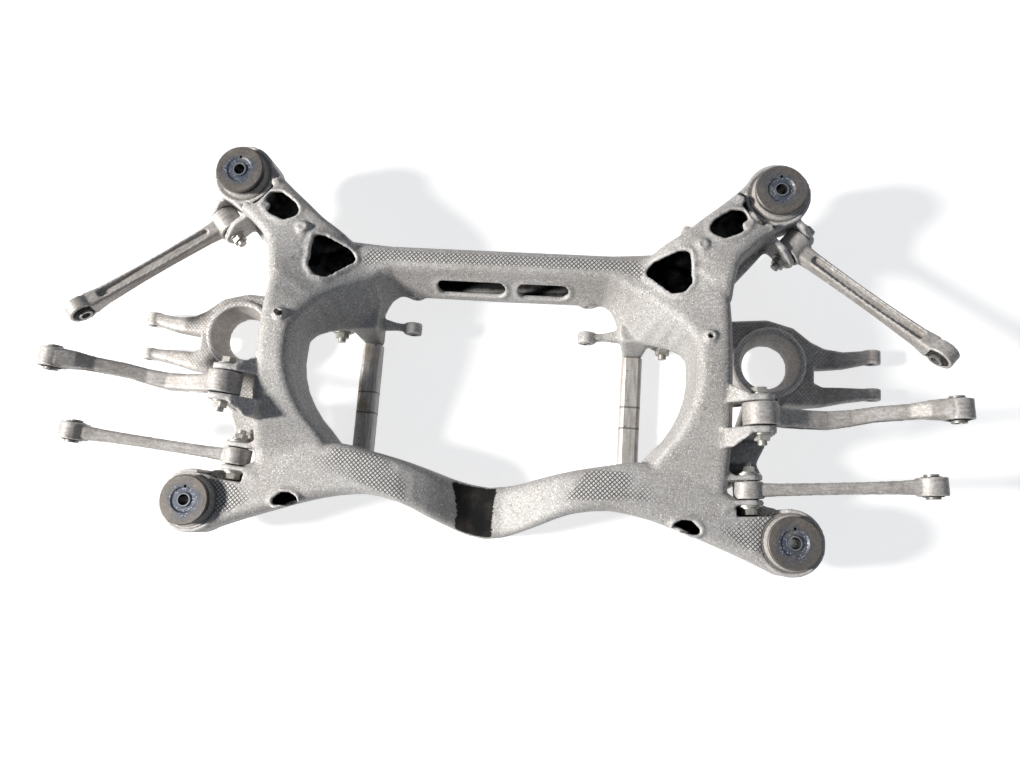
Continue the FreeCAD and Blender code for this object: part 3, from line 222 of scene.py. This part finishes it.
def cast_aluminium():
    """Sand-cast skin: pale grain and specks, edges lighter from wear and a painted highlight, corners darker from
    dirt and painted shade, knurl with painted shade in its grooves and a painted highlight on its diamonds,
    painted shade that turns the hollow near black, and a painted shadow over a dark stain in the dip.
    """
    make = Recipe("cast_aluminium")
    cloud = make.noise(7.0, 5.0, 0.6)
    patch = make.noise(30.0, 5.0, 0.62)
    coarse = make.noise(260.0, 3.0, 0.75)
    grit = make.noise(620.0, 2.0, 0.8)
    colour = make.mix(make.ramp(cloud, 0.36, 0.66), rgb(0.47, 0.445, 0.42), rgb(0.62, 0.612, 0.602))
    colour = make.mix(make.ramp(patch, 0.5, 0.72, 0.0, 0.4), colour, rgb(0.40, 0.36, 0.335))
    colour = make.mix(make.ramp(coarse, 0.38, 0.62, 0.55, 0.0), colour, rgb(0.25, 0.235, 0.225))
    colour = make.mix(make.ramp(grit, 0.5, 0.68, 0.0, 0.5), colour, rgb(0.78, 0.77, 0.755))
    bright = make.math("MULTIPLY", make.dots(330.0, 0.36, 0.3), make.ramp(patch, 0.34, 0.56))
    colour = make.mix(bright, colour, rgb(0.95, 0.95, 0.94))
    colour = make.mix(make.dots(520.0, 0.42, 0.22), colour, rgb(0.92, 0.91, 0.90))
    colour = make.mix(make.dots(460.0, 0.42, 0.16), colour, rgb(0.19, 0.175, 0.165))
    colour = make.mix(make.dots(190.0, 0.24, 0.07), colour, rgb(0.16, 0.14, 0.13))
    # Rounded edges painted lighter: wear with a painted highlight.
    worn = make.math("MULTIPLY", make.attribute("worn"), make.ramp(coarse, 0.3, 0.6, 0.25, 0.7))
    colour = make.mix(worn, colour, rgb(0.76, 0.745, 0.725))
    # Inner corners painted darker: dirt with painted shade.
    dirt = make.math("MULTIPLY", make.attribute("dirt"), make.ramp(patch, 0.3, 0.6, 0.4, 0.9))
    colour = make.mix(dirt, colour, rgb(0.11, 0.095, 0.082))
    knurl = make.attribute("knurl")
    lines = knurl_pattern(make)
    # Painted shade in the knurl's grooves: they are painted near black where the coarse noise allows.
    broken = make.math("MULTIPLY", lines, make.ramp(coarse, 0.3, 0.6, 0.6, 0.95))
    knurl_groove_shade = make.math("MULTIPLY", knurl, broken)
    # Painted highlight: the raised diamonds between the knurl's grooves are painted near white.
    knurl_diamond_highlight = make.math("MULTIPLY", knurl, make.ramp(lines, 0.0, 0.3, 0.5, 0.0))
    colour = make.mix(knurl_diamond_highlight, colour, rgb(0.88, 0.87, 0.86))
    colour = make.mix(knurl_groove_shade, colour, rgb(0.06, 0.057, 0.055))
    # Painted shade: points that see little open sky, inside the hollow and in deep recesses, are painted near
    # black.
    sky = make.math("ADD", make.attribute("open"), make.ramp(patch, 0.3, 0.7, -0.03, 0.03))
    painted_hollow_shade = make.ramp(sky, 0.12, 0.34, 1.0, 0.0)
    colour = make.mix(painted_hollow_shade, colour, rgb(0.006, 0.006, 0.006))
    # Painted shadow over a dark stain: the dip's floor is painted near black inside its outline, with a ragged
    # edge.
    dip_patch_reach = make.math("ADD", make.attribute("grime"), make.ramp(coarse, 0.2, 0.8, -0.35, 0.35))
    dip_shadow_and_stain_share = make.ramp(dip_patch_reach, 0.4, 0.6)
    colour = make.mix(dip_shadow_and_stain_share, colour, dip_shadow_and_stain_tint(make, patch))
    fine = make.bump(grit, 0.0007, 0.6)
    grain = make.bump(coarse, 0.0012, 0.6, fine)
    relief = make.bump(make.math("MULTIPLY", knurl, lines), 0.0010, 0.9, grain)
    waves = make.bump(patch, 0.0012, 0.35, relief)
    # Rougher where the hollow is painted with shade and where the dip is painted with shadow over a stain.
    shade_and_stain_dullness = make.math("MULTIPLY", make.math("MAXIMUM", painted_hollow_shade, dip_shadow_and_stain_share), 0.92)
    dull = make.math("MAXIMUM", make.ramp(grit, 0.3, 0.7, 0.5, 0.7), shade_and_stain_dullness)
    return make.finish(colour, dull, 0.2, waves)


KNURL_PITCH = 0.0052


def knurl_pattern(make):
    """Two crossing sets of fine grooves."""
    split = make.add("ShaderNodeSeparateXYZ")
    make.feed(split.inputs[0], make.place)
    waves = []
    for operation in ("ADD", "SUBTRACT"):
        across = make.math(operation, split.outputs[0], split.outputs[1])
        wave = make.math("SINE", make.math("MULTIPLY", across, 2 * math.pi / (KNURL_PITCH * math.sqrt(2))))
        waves.append(make.ramp(wave, 0.35, 0.95))
    return make.math("MAXIMUM", waves[0], waves[1])


def forged_aluminium(heading=0.0):
    """Forged metal with flow lines along a heading in plan."""
    make = Recipe("forged_aluminium")
    turned = make.add("ShaderNodeVectorRotate", rotation_type="Z_AXIS")
    make.feed(turned.inputs["Vector"], make.place)
    turned.inputs["Angle"].default_value = -heading
    along = make.add("ShaderNodeMapping")
    make.feed(along.inputs["Vector"], turned.outputs[0])
    along.inputs["Scale"].default_value = (1.0, 8.0, 8.0)
    patch = make.noise(26.0, 5.0, 0.6)
    coarse = make.noise(230.0, 3.0, 0.75)
    grit = make.noise(560.0, 2.0, 0.8)
    grain = make.noise(38.0, 4.0, 0.65, along.outputs["Vector"])
    colour = make.mix(make.ramp(patch, 0.36, 0.66), rgb(0.42, 0.385, 0.355), rgb(0.62, 0.60, 0.58))
    colour = make.mix(make.ramp(grain, 0.5, 0.66, 0.0, 0.6), colour, rgb(0.27, 0.24, 0.215))
    colour = make.mix(make.ramp(grain, 0.34, 0.46, 0.6, 0.0), colour, rgb(0.72, 0.70, 0.68))
    colour = make.mix(make.ramp(coarse, 0.38, 0.6, 0.45, 0.0), colour, rgb(0.23, 0.205, 0.19))
    colour = make.mix(make.ramp(grit, 0.52, 0.7, 0.0, 0.5), colour, rgb(0.78, 0.765, 0.75))
    # Rounded edges painted lighter: wear with a painted highlight.
    worn = make.math("MULTIPLY", make.attribute("worn"), make.ramp(coarse, 0.3, 0.6, 0.3, 0.9))
    colour = make.mix(worn, colour, rgb(0.80, 0.79, 0.775))
    # Inner corners painted darker: dirt with painted shade.
    dirt = make.math("MULTIPLY", make.attribute("dirt"), make.ramp(patch, 0.3, 0.6, 0.45, 0.95))
    colour = make.mix(dirt, colour, rgb(0.09, 0.078, 0.068))
    scuff = make.ramp(make.noise(75.0, 4.0, 0.7), 0.63, 0.7, 0.0, 0.7)
    colour = make.mix(scuff, colour, rgb(0.78, 0.78, 0.78))
    knurl = make.attribute("knurl")
    lines = knurl_pattern(make)
    # Painted shade in the knurl's grooves: they are painted dark.
    knurl_groove_shade = make.math("MULTIPLY", knurl, make.math("MULTIPLY", lines, 0.45))
    colour = make.mix(knurl_groove_shade, colour, rgb(0.10, 0.095, 0.09))
    normal = make.bump(make.math("MULTIPLY", knurl, lines), 0.0008, 0.6, make.bump(coarse, 0.0009, 0.5))
    normal = make.bump(patch, 0.001, 0.3, normal)
    return make.finish(colour, make.ramp(grit, 0.3, 0.7, 0.46, 0.66), 0.3, normal)


def bar_aluminium():
    make = Recipe("bar_aluminium")
    streak = make.noise(40.0, 5.0, 0.7, make.stretched((6.0, 0.7, 6.0)))
    patch = make.noise(16.0, 5.0, 0.65)
    grit = make.noise(420.0, 3.0, 0.7)
    colour = make.mix(make.ramp(streak, 0.34, 0.6), rgb(0.40, 0.365, 0.33), rgb(0.66, 0.645, 0.63))
    colour = make.mix(make.ramp(patch, 0.53, 0.66, 0.0, 0.75), colour, rgb(0.34, 0.25, 0.15))
    colour = make.mix(make.ramp(grit, 0.5, 0.75, 0.0, 0.5), colour, rgb(0.20, 0.175, 0.15))
    colour = make.mix(make.dots(150.0, 0.24, 0.08), colour, rgb(0.06, 0.05, 0.04))
    split = make.add("ShaderNodeSeparateXYZ")
    make.feed(split.inputs[0], make.place)
    for place in BAR_LINES:
        away = make.math("ABSOLUTE", make.math("ADD", split.outputs[1], -place))
        colour = make.mix(make.ramp(away, 0.0008, 0.0022, 0.75, 0.0), colour, rgb(0.09, 0.075, 0.06))
    return make.finish(colour, 0.5, 0.4, make.bump(streak, 0.0006, 0.4))


def mount_reach(make):
    """Distance in plan from the axis of the nearest body mount."""
    split = make.add("ShaderNodeSeparateXYZ")
    make.feed(split.inputs[0], make.place)
    folded = make.add("ShaderNodeCombineXYZ")
    make.feed(folded.inputs[0], make.math("ABSOLUTE", split.outputs[0]))
    make.feed(folded.inputs[1], split.outputs[1])
    gaps = []
    for end in ("front", "rear"):
        x, y, z = MOUNTS["body_mount_%s_right" % end]["pos_m"]
        gap = make.add("ShaderNodeVectorMath", operation="DISTANCE")
        make.feed(gap.inputs[0], folded.outputs[0])
        gap.inputs[1].default_value = (x, y, 0.0)
        gaps.append(gap.outputs["Value"])
    return make.math("MINIMUM", gaps[0], gaps[1])


def disc_steel():
    """Pressed disc: bluish middle with light specks, brownish ring, a painted highlight as a thin bright edge at
    the hole, painted shade that turns the hole near black, and a thin painted line of shade at the rim.
    """
    make = Recipe("disc_steel")
    reach = mount_reach(make)
    patch = make.noise(38.0, 5.0, 0.7)
    cloud = make.noise(22.0, 3.0, 0.6)
    coarse = make.noise(200.0, 3.0, 0.7)
    grit = make.noise(600.0, 2.0, 0.75)
    wander = make.math("ADD", reach, make.ramp(patch, 0.3, 0.7, -0.008, 0.008))
    colour = make.mix(make.ramp(wander, 0.020, 0.032), rgb(0.10, 0.12, 0.165), rgb(0.205, 0.18, 0.155))
    colour = make.mix(make.ramp(cloud, 0.5, 0.62, 0.0, 0.6), colour, rgb(0.15, 0.155, 0.165))
    colour = make.mix(make.ramp(patch, 0.54, 0.66, 0.0, 0.5), colour, rgb(0.28, 0.26, 0.24))
    colour = make.mix(make.ramp(coarse, 0.36, 0.6, 0.5, 0.0), colour, rgb(0.075, 0.07, 0.07))
    colour = make.mix(make.ramp(grit, 0.52, 0.72, 0.0, 0.35), colour, rgb(0.34, 0.335, 0.33))
    outer = make.ramp(wander, 0.012, 0.015)
    ringed = make.math("MULTIPLY", outer, make.ramp(wander, 0.021, 0.026, 1.0, 0.0))
    specks = make.math("MULTIPLY", ringed, make.dots(400.0, 0.42, 0.45))
    colour = make.mix(specks, colour, rgb(0.58, 0.62, 0.68))
    # Painted highlight: a thin bright ring round the hole.
    colour = make.mix(make.ramp(reach, 0.0098, 0.0108, 0.5, 0.0), colour, rgb(0.50, 0.51, 0.53))
    # Painted shade: the hole is painted near black.
    colour = make.mix(make.ramp(reach, 0.0091, 0.0093, 1.0, 0.0), colour, rgb(0.025, 0.024, 0.024))
    # Painted shade: a thin dark line round the disc's rim.
    colour = make.mix(make.ramp(reach, 0.0393, 0.0402, 0.0, 0.7), colour, rgb(0.13, 0.115, 0.105))
    return make.finish(colour, make.ramp(patch, 0.3, 0.7, 0.36, 0.55), 0.35, make.bump(coarse, 0.0004, 0.4))


# Name, dark and light colour, rust colour and share of rust
STEELS = (
    ("can_steel", (0.34, 0.32, 0.30), (0.50, 0.48, 0.455), (0.17, 0.13, 0.11), 0.03),
    ("sleeve_steel", (0.22, 0.21, 0.20), (0.42, 0.41, 0.40), (0.16, 0.09, 0.06), 0.05),
    ("zinc_steel", (0.34, 0.33, 0.30), (0.55, 0.54, 0.50), (0.20, 0.11, 0.08), 0.04),
    ("dark_steel", (0.03, 0.03, 0.03), (0.07, 0.065, 0.06), (0.10, 0.06, 0.04), 0.04),
)


def plain_metal(name, dark, light, rust, rust_share, metallic=0.6, roughness=0.42):
    make = Recipe(name)
    patch = make.noise(120.0, 4.0, 0.6)
    spots = make.noise(260.0, 4.0, 0.7)
    colour = make.mix(make.ramp(patch, 0.35, 0.65), dark, light)
    colour = make.mix(make.ramp(spots, 0.62 - rust_share, 0.72 - rust_share * 0.5), colour, rust)
    return make.finish(colour, make.ramp(spots, 0.3, 0.7, roughness - 0.08, roughness + 0.2), metallic,
                       make.bump(spots, 0.0004, 0.4))


def black_rubber():
    make = Recipe("black_rubber")
    dust = make.noise(70.0, 4.0, 0.65)
    grit = make.noise(500.0, 2.0, 0.6)
    colour = make.mix(make.ramp(dust, 0.42, 0.75, 0.0, 0.6), rgb(0.012, 0.012, 0.013), rgb(0.07, 0.066, 0.06))
    return make.finish(colour, make.ramp(grit, 0.3, 0.7, 0.62, 0.85), 0.0, make.bump(grit, 0.0003, 0.4))


def dusty_rubber(name, land):
    """Rubber of a body mount: black below, under pale dust where it lies open beside the disc."""
    make = Recipe(name)
    split = make.add("ShaderNodeSeparateXYZ")
    make.feed(split.inputs[0], make.place)
    patch = make.noise(60.0, 4.0, 0.6)
    grit = make.noise(500.0, 2.0, 0.7)
    dust = make.mix(make.ramp(grit, 0.35, 0.65), rgb(0.34, 0.315, 0.29), rgb(0.66, 0.635, 0.61))
    height = make.math("ADD", split.outputs[2], make.ramp(patch, 0.3, 0.7, -0.001, 0.001))
    above = make.ramp(height, land - 0.004, land - 0.001)
    upper = make.math("MULTIPLY", above, make.ramp(height, land + 0.004, land + 0.008, 1.0, 0.0))
    colour = make.mix(make.math("MULTIPLY", upper, 0.9), rgb(0.02, 0.019, 0.019), dust)
    return make.finish(colour, 0.8, 0.0, make.bump(grit, 0.0004, 0.5))


def floor_finish():
    """Pale floor that shows near white and keeps a light shadow of the object."""
    make = Recipe("pale_floor")
    ray = make.add("ShaderNodeLightPath")
    seen = make.math("MAXIMUM", ray.outputs["Is Camera Ray"], ray.outputs["Is Glossy Ray"])
    make.feed(make.shader.inputs["Emission Color"], rgb(1.0, 1.0, 1.0))
    make.feed(make.shader.inputs["Emission Strength"], make.math("MULTIPLY", seen, 0.72))
    return make.finish(rgb(0.56, 0.56, 0.56), 0.9, 0.0)


# Mesh work

def dress(piece, body, material):
    bpy.context.scene.collection.objects.link(piece)
    piece.data.materials.clear()
    piece.data.materials.append(material)
    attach(piece, body)
    return piece


def evaluated(obj):
    graph = bpy.context.evaluated_depsgraph_get()
    return bpy.data.meshes.new_from_object(obj.evaluated_get(graph))


def remeshed(name, node, voxel):
    """A copy of a CAD node with an even mesh, ready to be smoothed."""
    source = bpy.data.objects.new(name + "_source", NODES[node].data.copy())
    bpy.context.scene.collection.objects.link(source)
    tool = source.modifiers.new("even", "REMESH")
    tool.mode = "VOXEL"
    tool.voxel_size = voxel
    mesh = evaluated(source)
    bpy.data.objects.remove(source)
    return mesh


def coordinates(mesh):
    points = np.empty(len(mesh.vertices) * 3)
    mesh.vertices.foreach_get("co", points)
    return points.reshape(-1, 3)


def directions(mesh):
    normals = np.empty(len(mesh.vertices) * 3)
    mesh.vertices.foreach_get("normal", normals)
    return normals.reshape(-1, 3)


def neighbours(mesh):
    """Both ways along every edge, and how many edges meet at each point."""
    ends = np.empty(len(mesh.edges) * 2, dtype=np.int64)
    mesh.edges.foreach_get("vertices", ends)
    ends = ends.reshape(-1, 2)
    first = np.concatenate([ends[:, 0], ends[:, 1]])
    second = np.concatenate([ends[:, 1], ends[:, 0]])
    degree = np.maximum(np.bincount(first, minlength=len(mesh.vertices)), 1)
    return first, second, degree


def triangles(mesh):
    return sum(len(face.vertices) - 2 for face in mesh.polygons)


def thinned(mesh, most):
    """The same surface with at most so many triangles; its flat parts lose the most."""
    source = bpy.data.objects.new("thinned_source", mesh)
    bpy.context.scene.collection.objects.link(source)
    tool = source.modifiers.new("thin", "DECIMATE")
    tool.ratio = most / triangles(mesh)
    thin = evaluated(source)
    bpy.data.objects.remove(source)
    return thin


def relax(mesh, weight, rounds, push=0.53):
    """Taubin smoothing: it rounds edges and facets and keeps the volume."""
    points = coordinates(mesh)
    count = len(points)
    first, second, degree = neighbours(mesh)
    degree = degree[:, None]
    weight = weight[:, None]
    for step in range(rounds):
        for factor in (0.5, -push):
            total = np.stack([np.bincount(first, points[second, k], count) for k in range(3)], axis=1)
            points = points + factor * weight * (total / degree - points)
    mesh.vertices.foreach_set("co", points.ravel())
    mesh.update()
    return points


def edge_and_corner_marks(mesh, scale):
    """Marks rounded edges lighter, as wear with a painted highlight, and inner corners darker, as dirt with
    painted shade, from how far the surface bends.
    """
    points = coordinates(mesh)
    count = len(points)
    normals = directions(mesh)
    first, second, degree = neighbours(mesh)

    def averaged(values):
        return np.bincount(first, values[second], count) / degree

    middle = np.stack([averaged(points[:, k]) for k in range(3)], axis=1)
    bend = -np.einsum("ij,ij->i", middle - points, normals)
    for step in range(2):
        bend = 0.5 * bend + 0.5 * averaged(bend)
    set_attribute(mesh, "worn", np.clip((bend / scale - 0.5) * 1.6, 0.0, 1.0))
    hollow = -bend / scale
    for step in range(4):
        hollow = np.maximum(hollow, averaged(hollow))
    set_attribute(mesh, "dirt", np.clip((hollow - 0.5) * 1.4, 0.0, 1.0))


# How far a ray looks, rays a point, lean towards the normal, start above the surface
SKY_REACH = 0.22
SKY_RAYS = 6
SKY_LEAN = 1.02
SKY_LIFT = 0.0015
SKY_BLUR = 6


def sky_view(mesh):
    """Share of rays from each point that leave the casting: near nothing inside the hollow."""
    points = coordinates(mesh)
    normals = directions(mesh)
    tree = BVHTree.FromPolygons(points.tolist(), [tuple(face.vertices) for face in mesh.polygons])
    cast = tree.ray_cast
    free = np.zeros(len(points))
    for step in range(SKY_RAYS):
        aim = rng.normal(size=(len(points), 3))
        aim /= np.linalg.norm(aim, axis=1)[:, None]
        aim = aim + normals * SKY_LEAN
        aim /= np.linalg.norm(aim, axis=1)[:, None]
        starts = points + normals * SKY_LIFT
        for row, (start, way) in enumerate(zip(starts.tolist(), aim.tolist())):
            if cast(start, way, SKY_REACH)[0] is None:
                free[row] += 1.0
    free /= SKY_RAYS
    first, second, degree = neighbours(mesh)
    for step in range(SKY_BLUR):
        free = 0.3 * free + 0.7 * np.bincount(first, free[second], len(points)) / degree
    return free


def spots_weight(points, spots, low, margin):
    """Low weight near the given spots (centre, radius), rising to full over a margin."""
    weight = np.ones(len(points))
    for centre, radius in spots:
        away = np.linalg.norm(points - np.array(centre), axis=1)
        weight = np.minimum(weight, low + (1.0 - low) * np.clip((away - radius) / margin, 0.0, 1.0))
    return weight


def inside(points, outline):
    """How far points lie inside a plan outline, in metres; negative outside."""
    corners = np.array(outline)
    x = points[:, 0]
    y = points[:, 1]
    odd = np.zeros(len(points), dtype=bool)
    nearest = np.full(len(points), 1.0)
    for start, end in zip(corners, np.roll(corners, -1, axis=0)):
        span = end - start
        share = np.clip(((x - start[0]) * span[0] + (y - start[1]) * span[1]) / (span @ span), 0.0, 1.0)
        gap = np.hypot(x - start[0] - share * span[0], y - start[1] - share * span[1])
        nearest = np.minimum(nearest, gap)
        crosses = (start[1] > y) != (end[1] > y)
        with np.errstate(divide="ignore", invalid="ignore"):
            at = start[0] + (y - start[1]) * span[0] / span[1]
        odd ^= crosses & (x < at)
    return np.where(odd, nearest, -nearest)


def patched(points, outline, fade):
    """1 inside a plan outline in millimetres, 0 outside, with a soft edge as wide as fade."""
    return np.clip(inside(points, np.array(outline) * MM) / fade + 0.5, 0.0, 1.0)


def set_attribute(mesh, name, values):
    layer = mesh.attributes.new(name, "FLOAT", "POINT")
    layer.data.foreach_set("value", values.astype(np.float32))


MM = 0.001
KNURL_FADE = 0.003
DIP_SHADOW_AND_STAIN_FADE = 0.008
# Where two fine lines cross the lower bars, along Y
BAR_LINES = (-0.064, -0.101)

# Plan outlines in millimetres of the knurled patches on the upper side
KNURL_RIGHT = (
    [(34, 142), (195, 142), (232, 128), (240, 142), (226, 160), (34, 161)],
    [(131, -235), (160, -189), (184, -184), (223, -185), (265, -226), (186, -232)],
    [(378, -268), (413, -247), (466, -231), (489, -234), (451, -260), (444, -298), (414, -290)],
)
KNURL_LEFT = (
    [(8, 142), (-195, 142), (-228, 128), (-232, 142), (-220, 160), (8, 161)],
    [(-257, -176), (-173, -183), (-131, -220), (-127, -256), (-175, -240), (-218, -224), (-253, -213)],
    [(-378, -268), (-413, -247), (-466, -231), (-489, -234), (-451, -260), (-444, -298), (-414, -290)],
)
# Plan outline in millimetres of the dip patch on the rear crossmember: painted shadow over a dark stain.
DIP_SHADOW_AND_STAIN = [(-52, -316), (14, -316), (10, -262), (18, -214), (-60, -212), (-46, -262)]


CASTING_TRIANGLES = 194000
CASTING_VOXEL = 0.003
CASTING_ROUNDS = 26
LINK_VOXEL = 0.0016
LINK_ROUNDS = {"front": 45, "camber": 16, "toe": 16}
ARM_VOXEL = 0.0024
ARM_ROUNDS = 14
# Radius round each fit that keeps its shape while the casting is smoothed
MOUNT_KEEP = 0.064
DRIVE_KEEP = 0.022
ARM_KEEP = 0.042
PIVOT_KEEP = 0.045


def subframe_casting(material):
    mesh = remeshed("subframe", "subframe_casting", CASTING_VOXEL)
    points = coordinates(mesh)
    spots = []
    for name, mount in MOUNTS.items():
        if name.startswith("body_mount"):
            place = Vector(mount["pos_m"])
            spots += [(place + Vector((0, 0, lift)), MOUNT_KEEP) for lift in (0.02, -0.02)]
        if name.startswith("drive_"):
            spots.append((mount["pos_m"], DRIVE_KEEP))
    for joint in JOINTS.values():
        place = Vector(joint["pos_m"])
        if joint["name"].startswith("lower_arm"):
            for node in ("arm_front_bush_", "arm_rear_bush_"):
                low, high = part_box(node + joint["name"].split("_")[-1])
                spots.append(((low + high) / 2, ARM_KEEP))
        else:
            spots.append((place, PIVOT_KEEP))
    weight = spots_weight(points, spots, 0.12, 0.03)
    points = relax(mesh, weight, CASTING_ROUNDS)
    upward = np.clip(directions(mesh)[:, 2] * 2.0 - 0.6, 0.0, 1.0)
    knurl = np.zeros(len(points))
    for outline in KNURL_RIGHT + KNURL_LEFT:
        knurl = np.maximum(knurl, patched(points, outline, KNURL_FADE))
    set_attribute(mesh, "knurl", knurl * upward)
    # Mask of the dip patch on upward faces, painted with shadow over a dark stain.
    grime = patched(points, DIP_SHADOW_AND_STAIN, DIP_SHADOW_AND_STAIN_FADE)
    set_attribute(mesh, "grime", grime * upward)
    edge_and_corner_marks(mesh, 0.0003)
    # Share of open sky at each point; where it is small the casting is painted with shade.
    set_attribute(mesh, "open", sky_view(mesh))
    mesh = thinned(mesh, CASTING_TRIANGLES)
    for face in mesh.polygons:
        face.use_smooth = True
    piece = bpy.data.objects.new("subframe_dressed", mesh)
    dress(piece, "subframe", material)
    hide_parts("subframe_casting")
    print("subframe triangles", triangles(mesh))


def forging(node, body, voxel, rounds, material, knurled=None):
    mesh = remeshed(node, node, voxel)
    weight = np.full(len(mesh.vertices), 0.8)
    points = relax(mesh, weight, rounds)
    edge_and_corner_marks(mesh, 0.0002)
    knurl = np.zeros(len(points))
    if knurled:
        upward = np.clip(directions(mesh)[:, 2] * 3.0 - 1.8, 0.0, 1.0)
        knurl = upward * patched(points, knurled, KNURL_FADE)
    set_attribute(mesh, "knurl", knurl)
    for face in mesh.polygons:
        face.use_smooth = True
    piece = bpy.data.objects.new(node + "_dressed", mesh)
    dress(piece, body, material)
    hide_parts(node)
    print(node, "triangles", triangles(mesh))


ARM_KNURL = [(350, 104), (500, 104), (575, 62), (575, -20), (500, -75), (430, -130), (350, -60)]


def main():
    bpy.context.scene.view_settings.view_transform = "Standard"
    make_camera()
    make_lights()
    make_floor(floor_finish())
    cast = cast_aluminium()
    forged = forged_aluminium()
    headed = {}
    for side, sign in SIDES:
        low = Vector(JOINTS["front_link_pivot_" + side]["pos_m"])
        far = Vector(MOUNTS["front_link_outer_" + side]["pos_m"])
        headed["front_" + side] = forged_aluminium(math.atan2(far.y - low.y, far.x - low.x))
    finishes = {
        "cast_aluminium": cast,
        "forged_aluminium": forged,
        "bar_aluminium": bar_aluminium(),
        "disc_steel": disc_steel(),
    }
    for name, dark, light, rust, share in STEELS:
        finishes[name] = plain_metal(name, rgb(*dark), rgb(*light), rgb(*rust), share)
    finishes["rubber"] = black_rubber()
    dusty = {}
    for end in ("front", "rear"):
        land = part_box("mount_can_%s_right" % end)[1].z
        dusty[end] = dusty_rubber("dusty_rubber_" + end, land)
    for row in RECORD["subparts"]:
        mesh = NODES[row["node"]].data
        mesh.materials.clear()
        name = row["node"]
        for end in ("front", "rear"):
            if name.startswith("mount_rubber_" + end):
                mesh.materials.append(dusty[end])
                break
        else:
            mesh.materials.append(finishes[row["material_slot"]])
    subframe_casting(cast)
    for side, sign in SIDES:
        for link in ("front", "camber", "toe"):
            node = "%s_link_%s" % (link, side)
            material = headed.get("%s_%s" % (link, side), forged)
            forging(node, node, LINK_VOXEL, LINK_ROUNDS[link], material)
        node = "lower_arm_" + side
        outline = [(sign * x, y) for x, y in ARM_KNURL]
        forging(node, node, ARM_VOXEL, ARM_ROUNDS, forged, outline)


main()
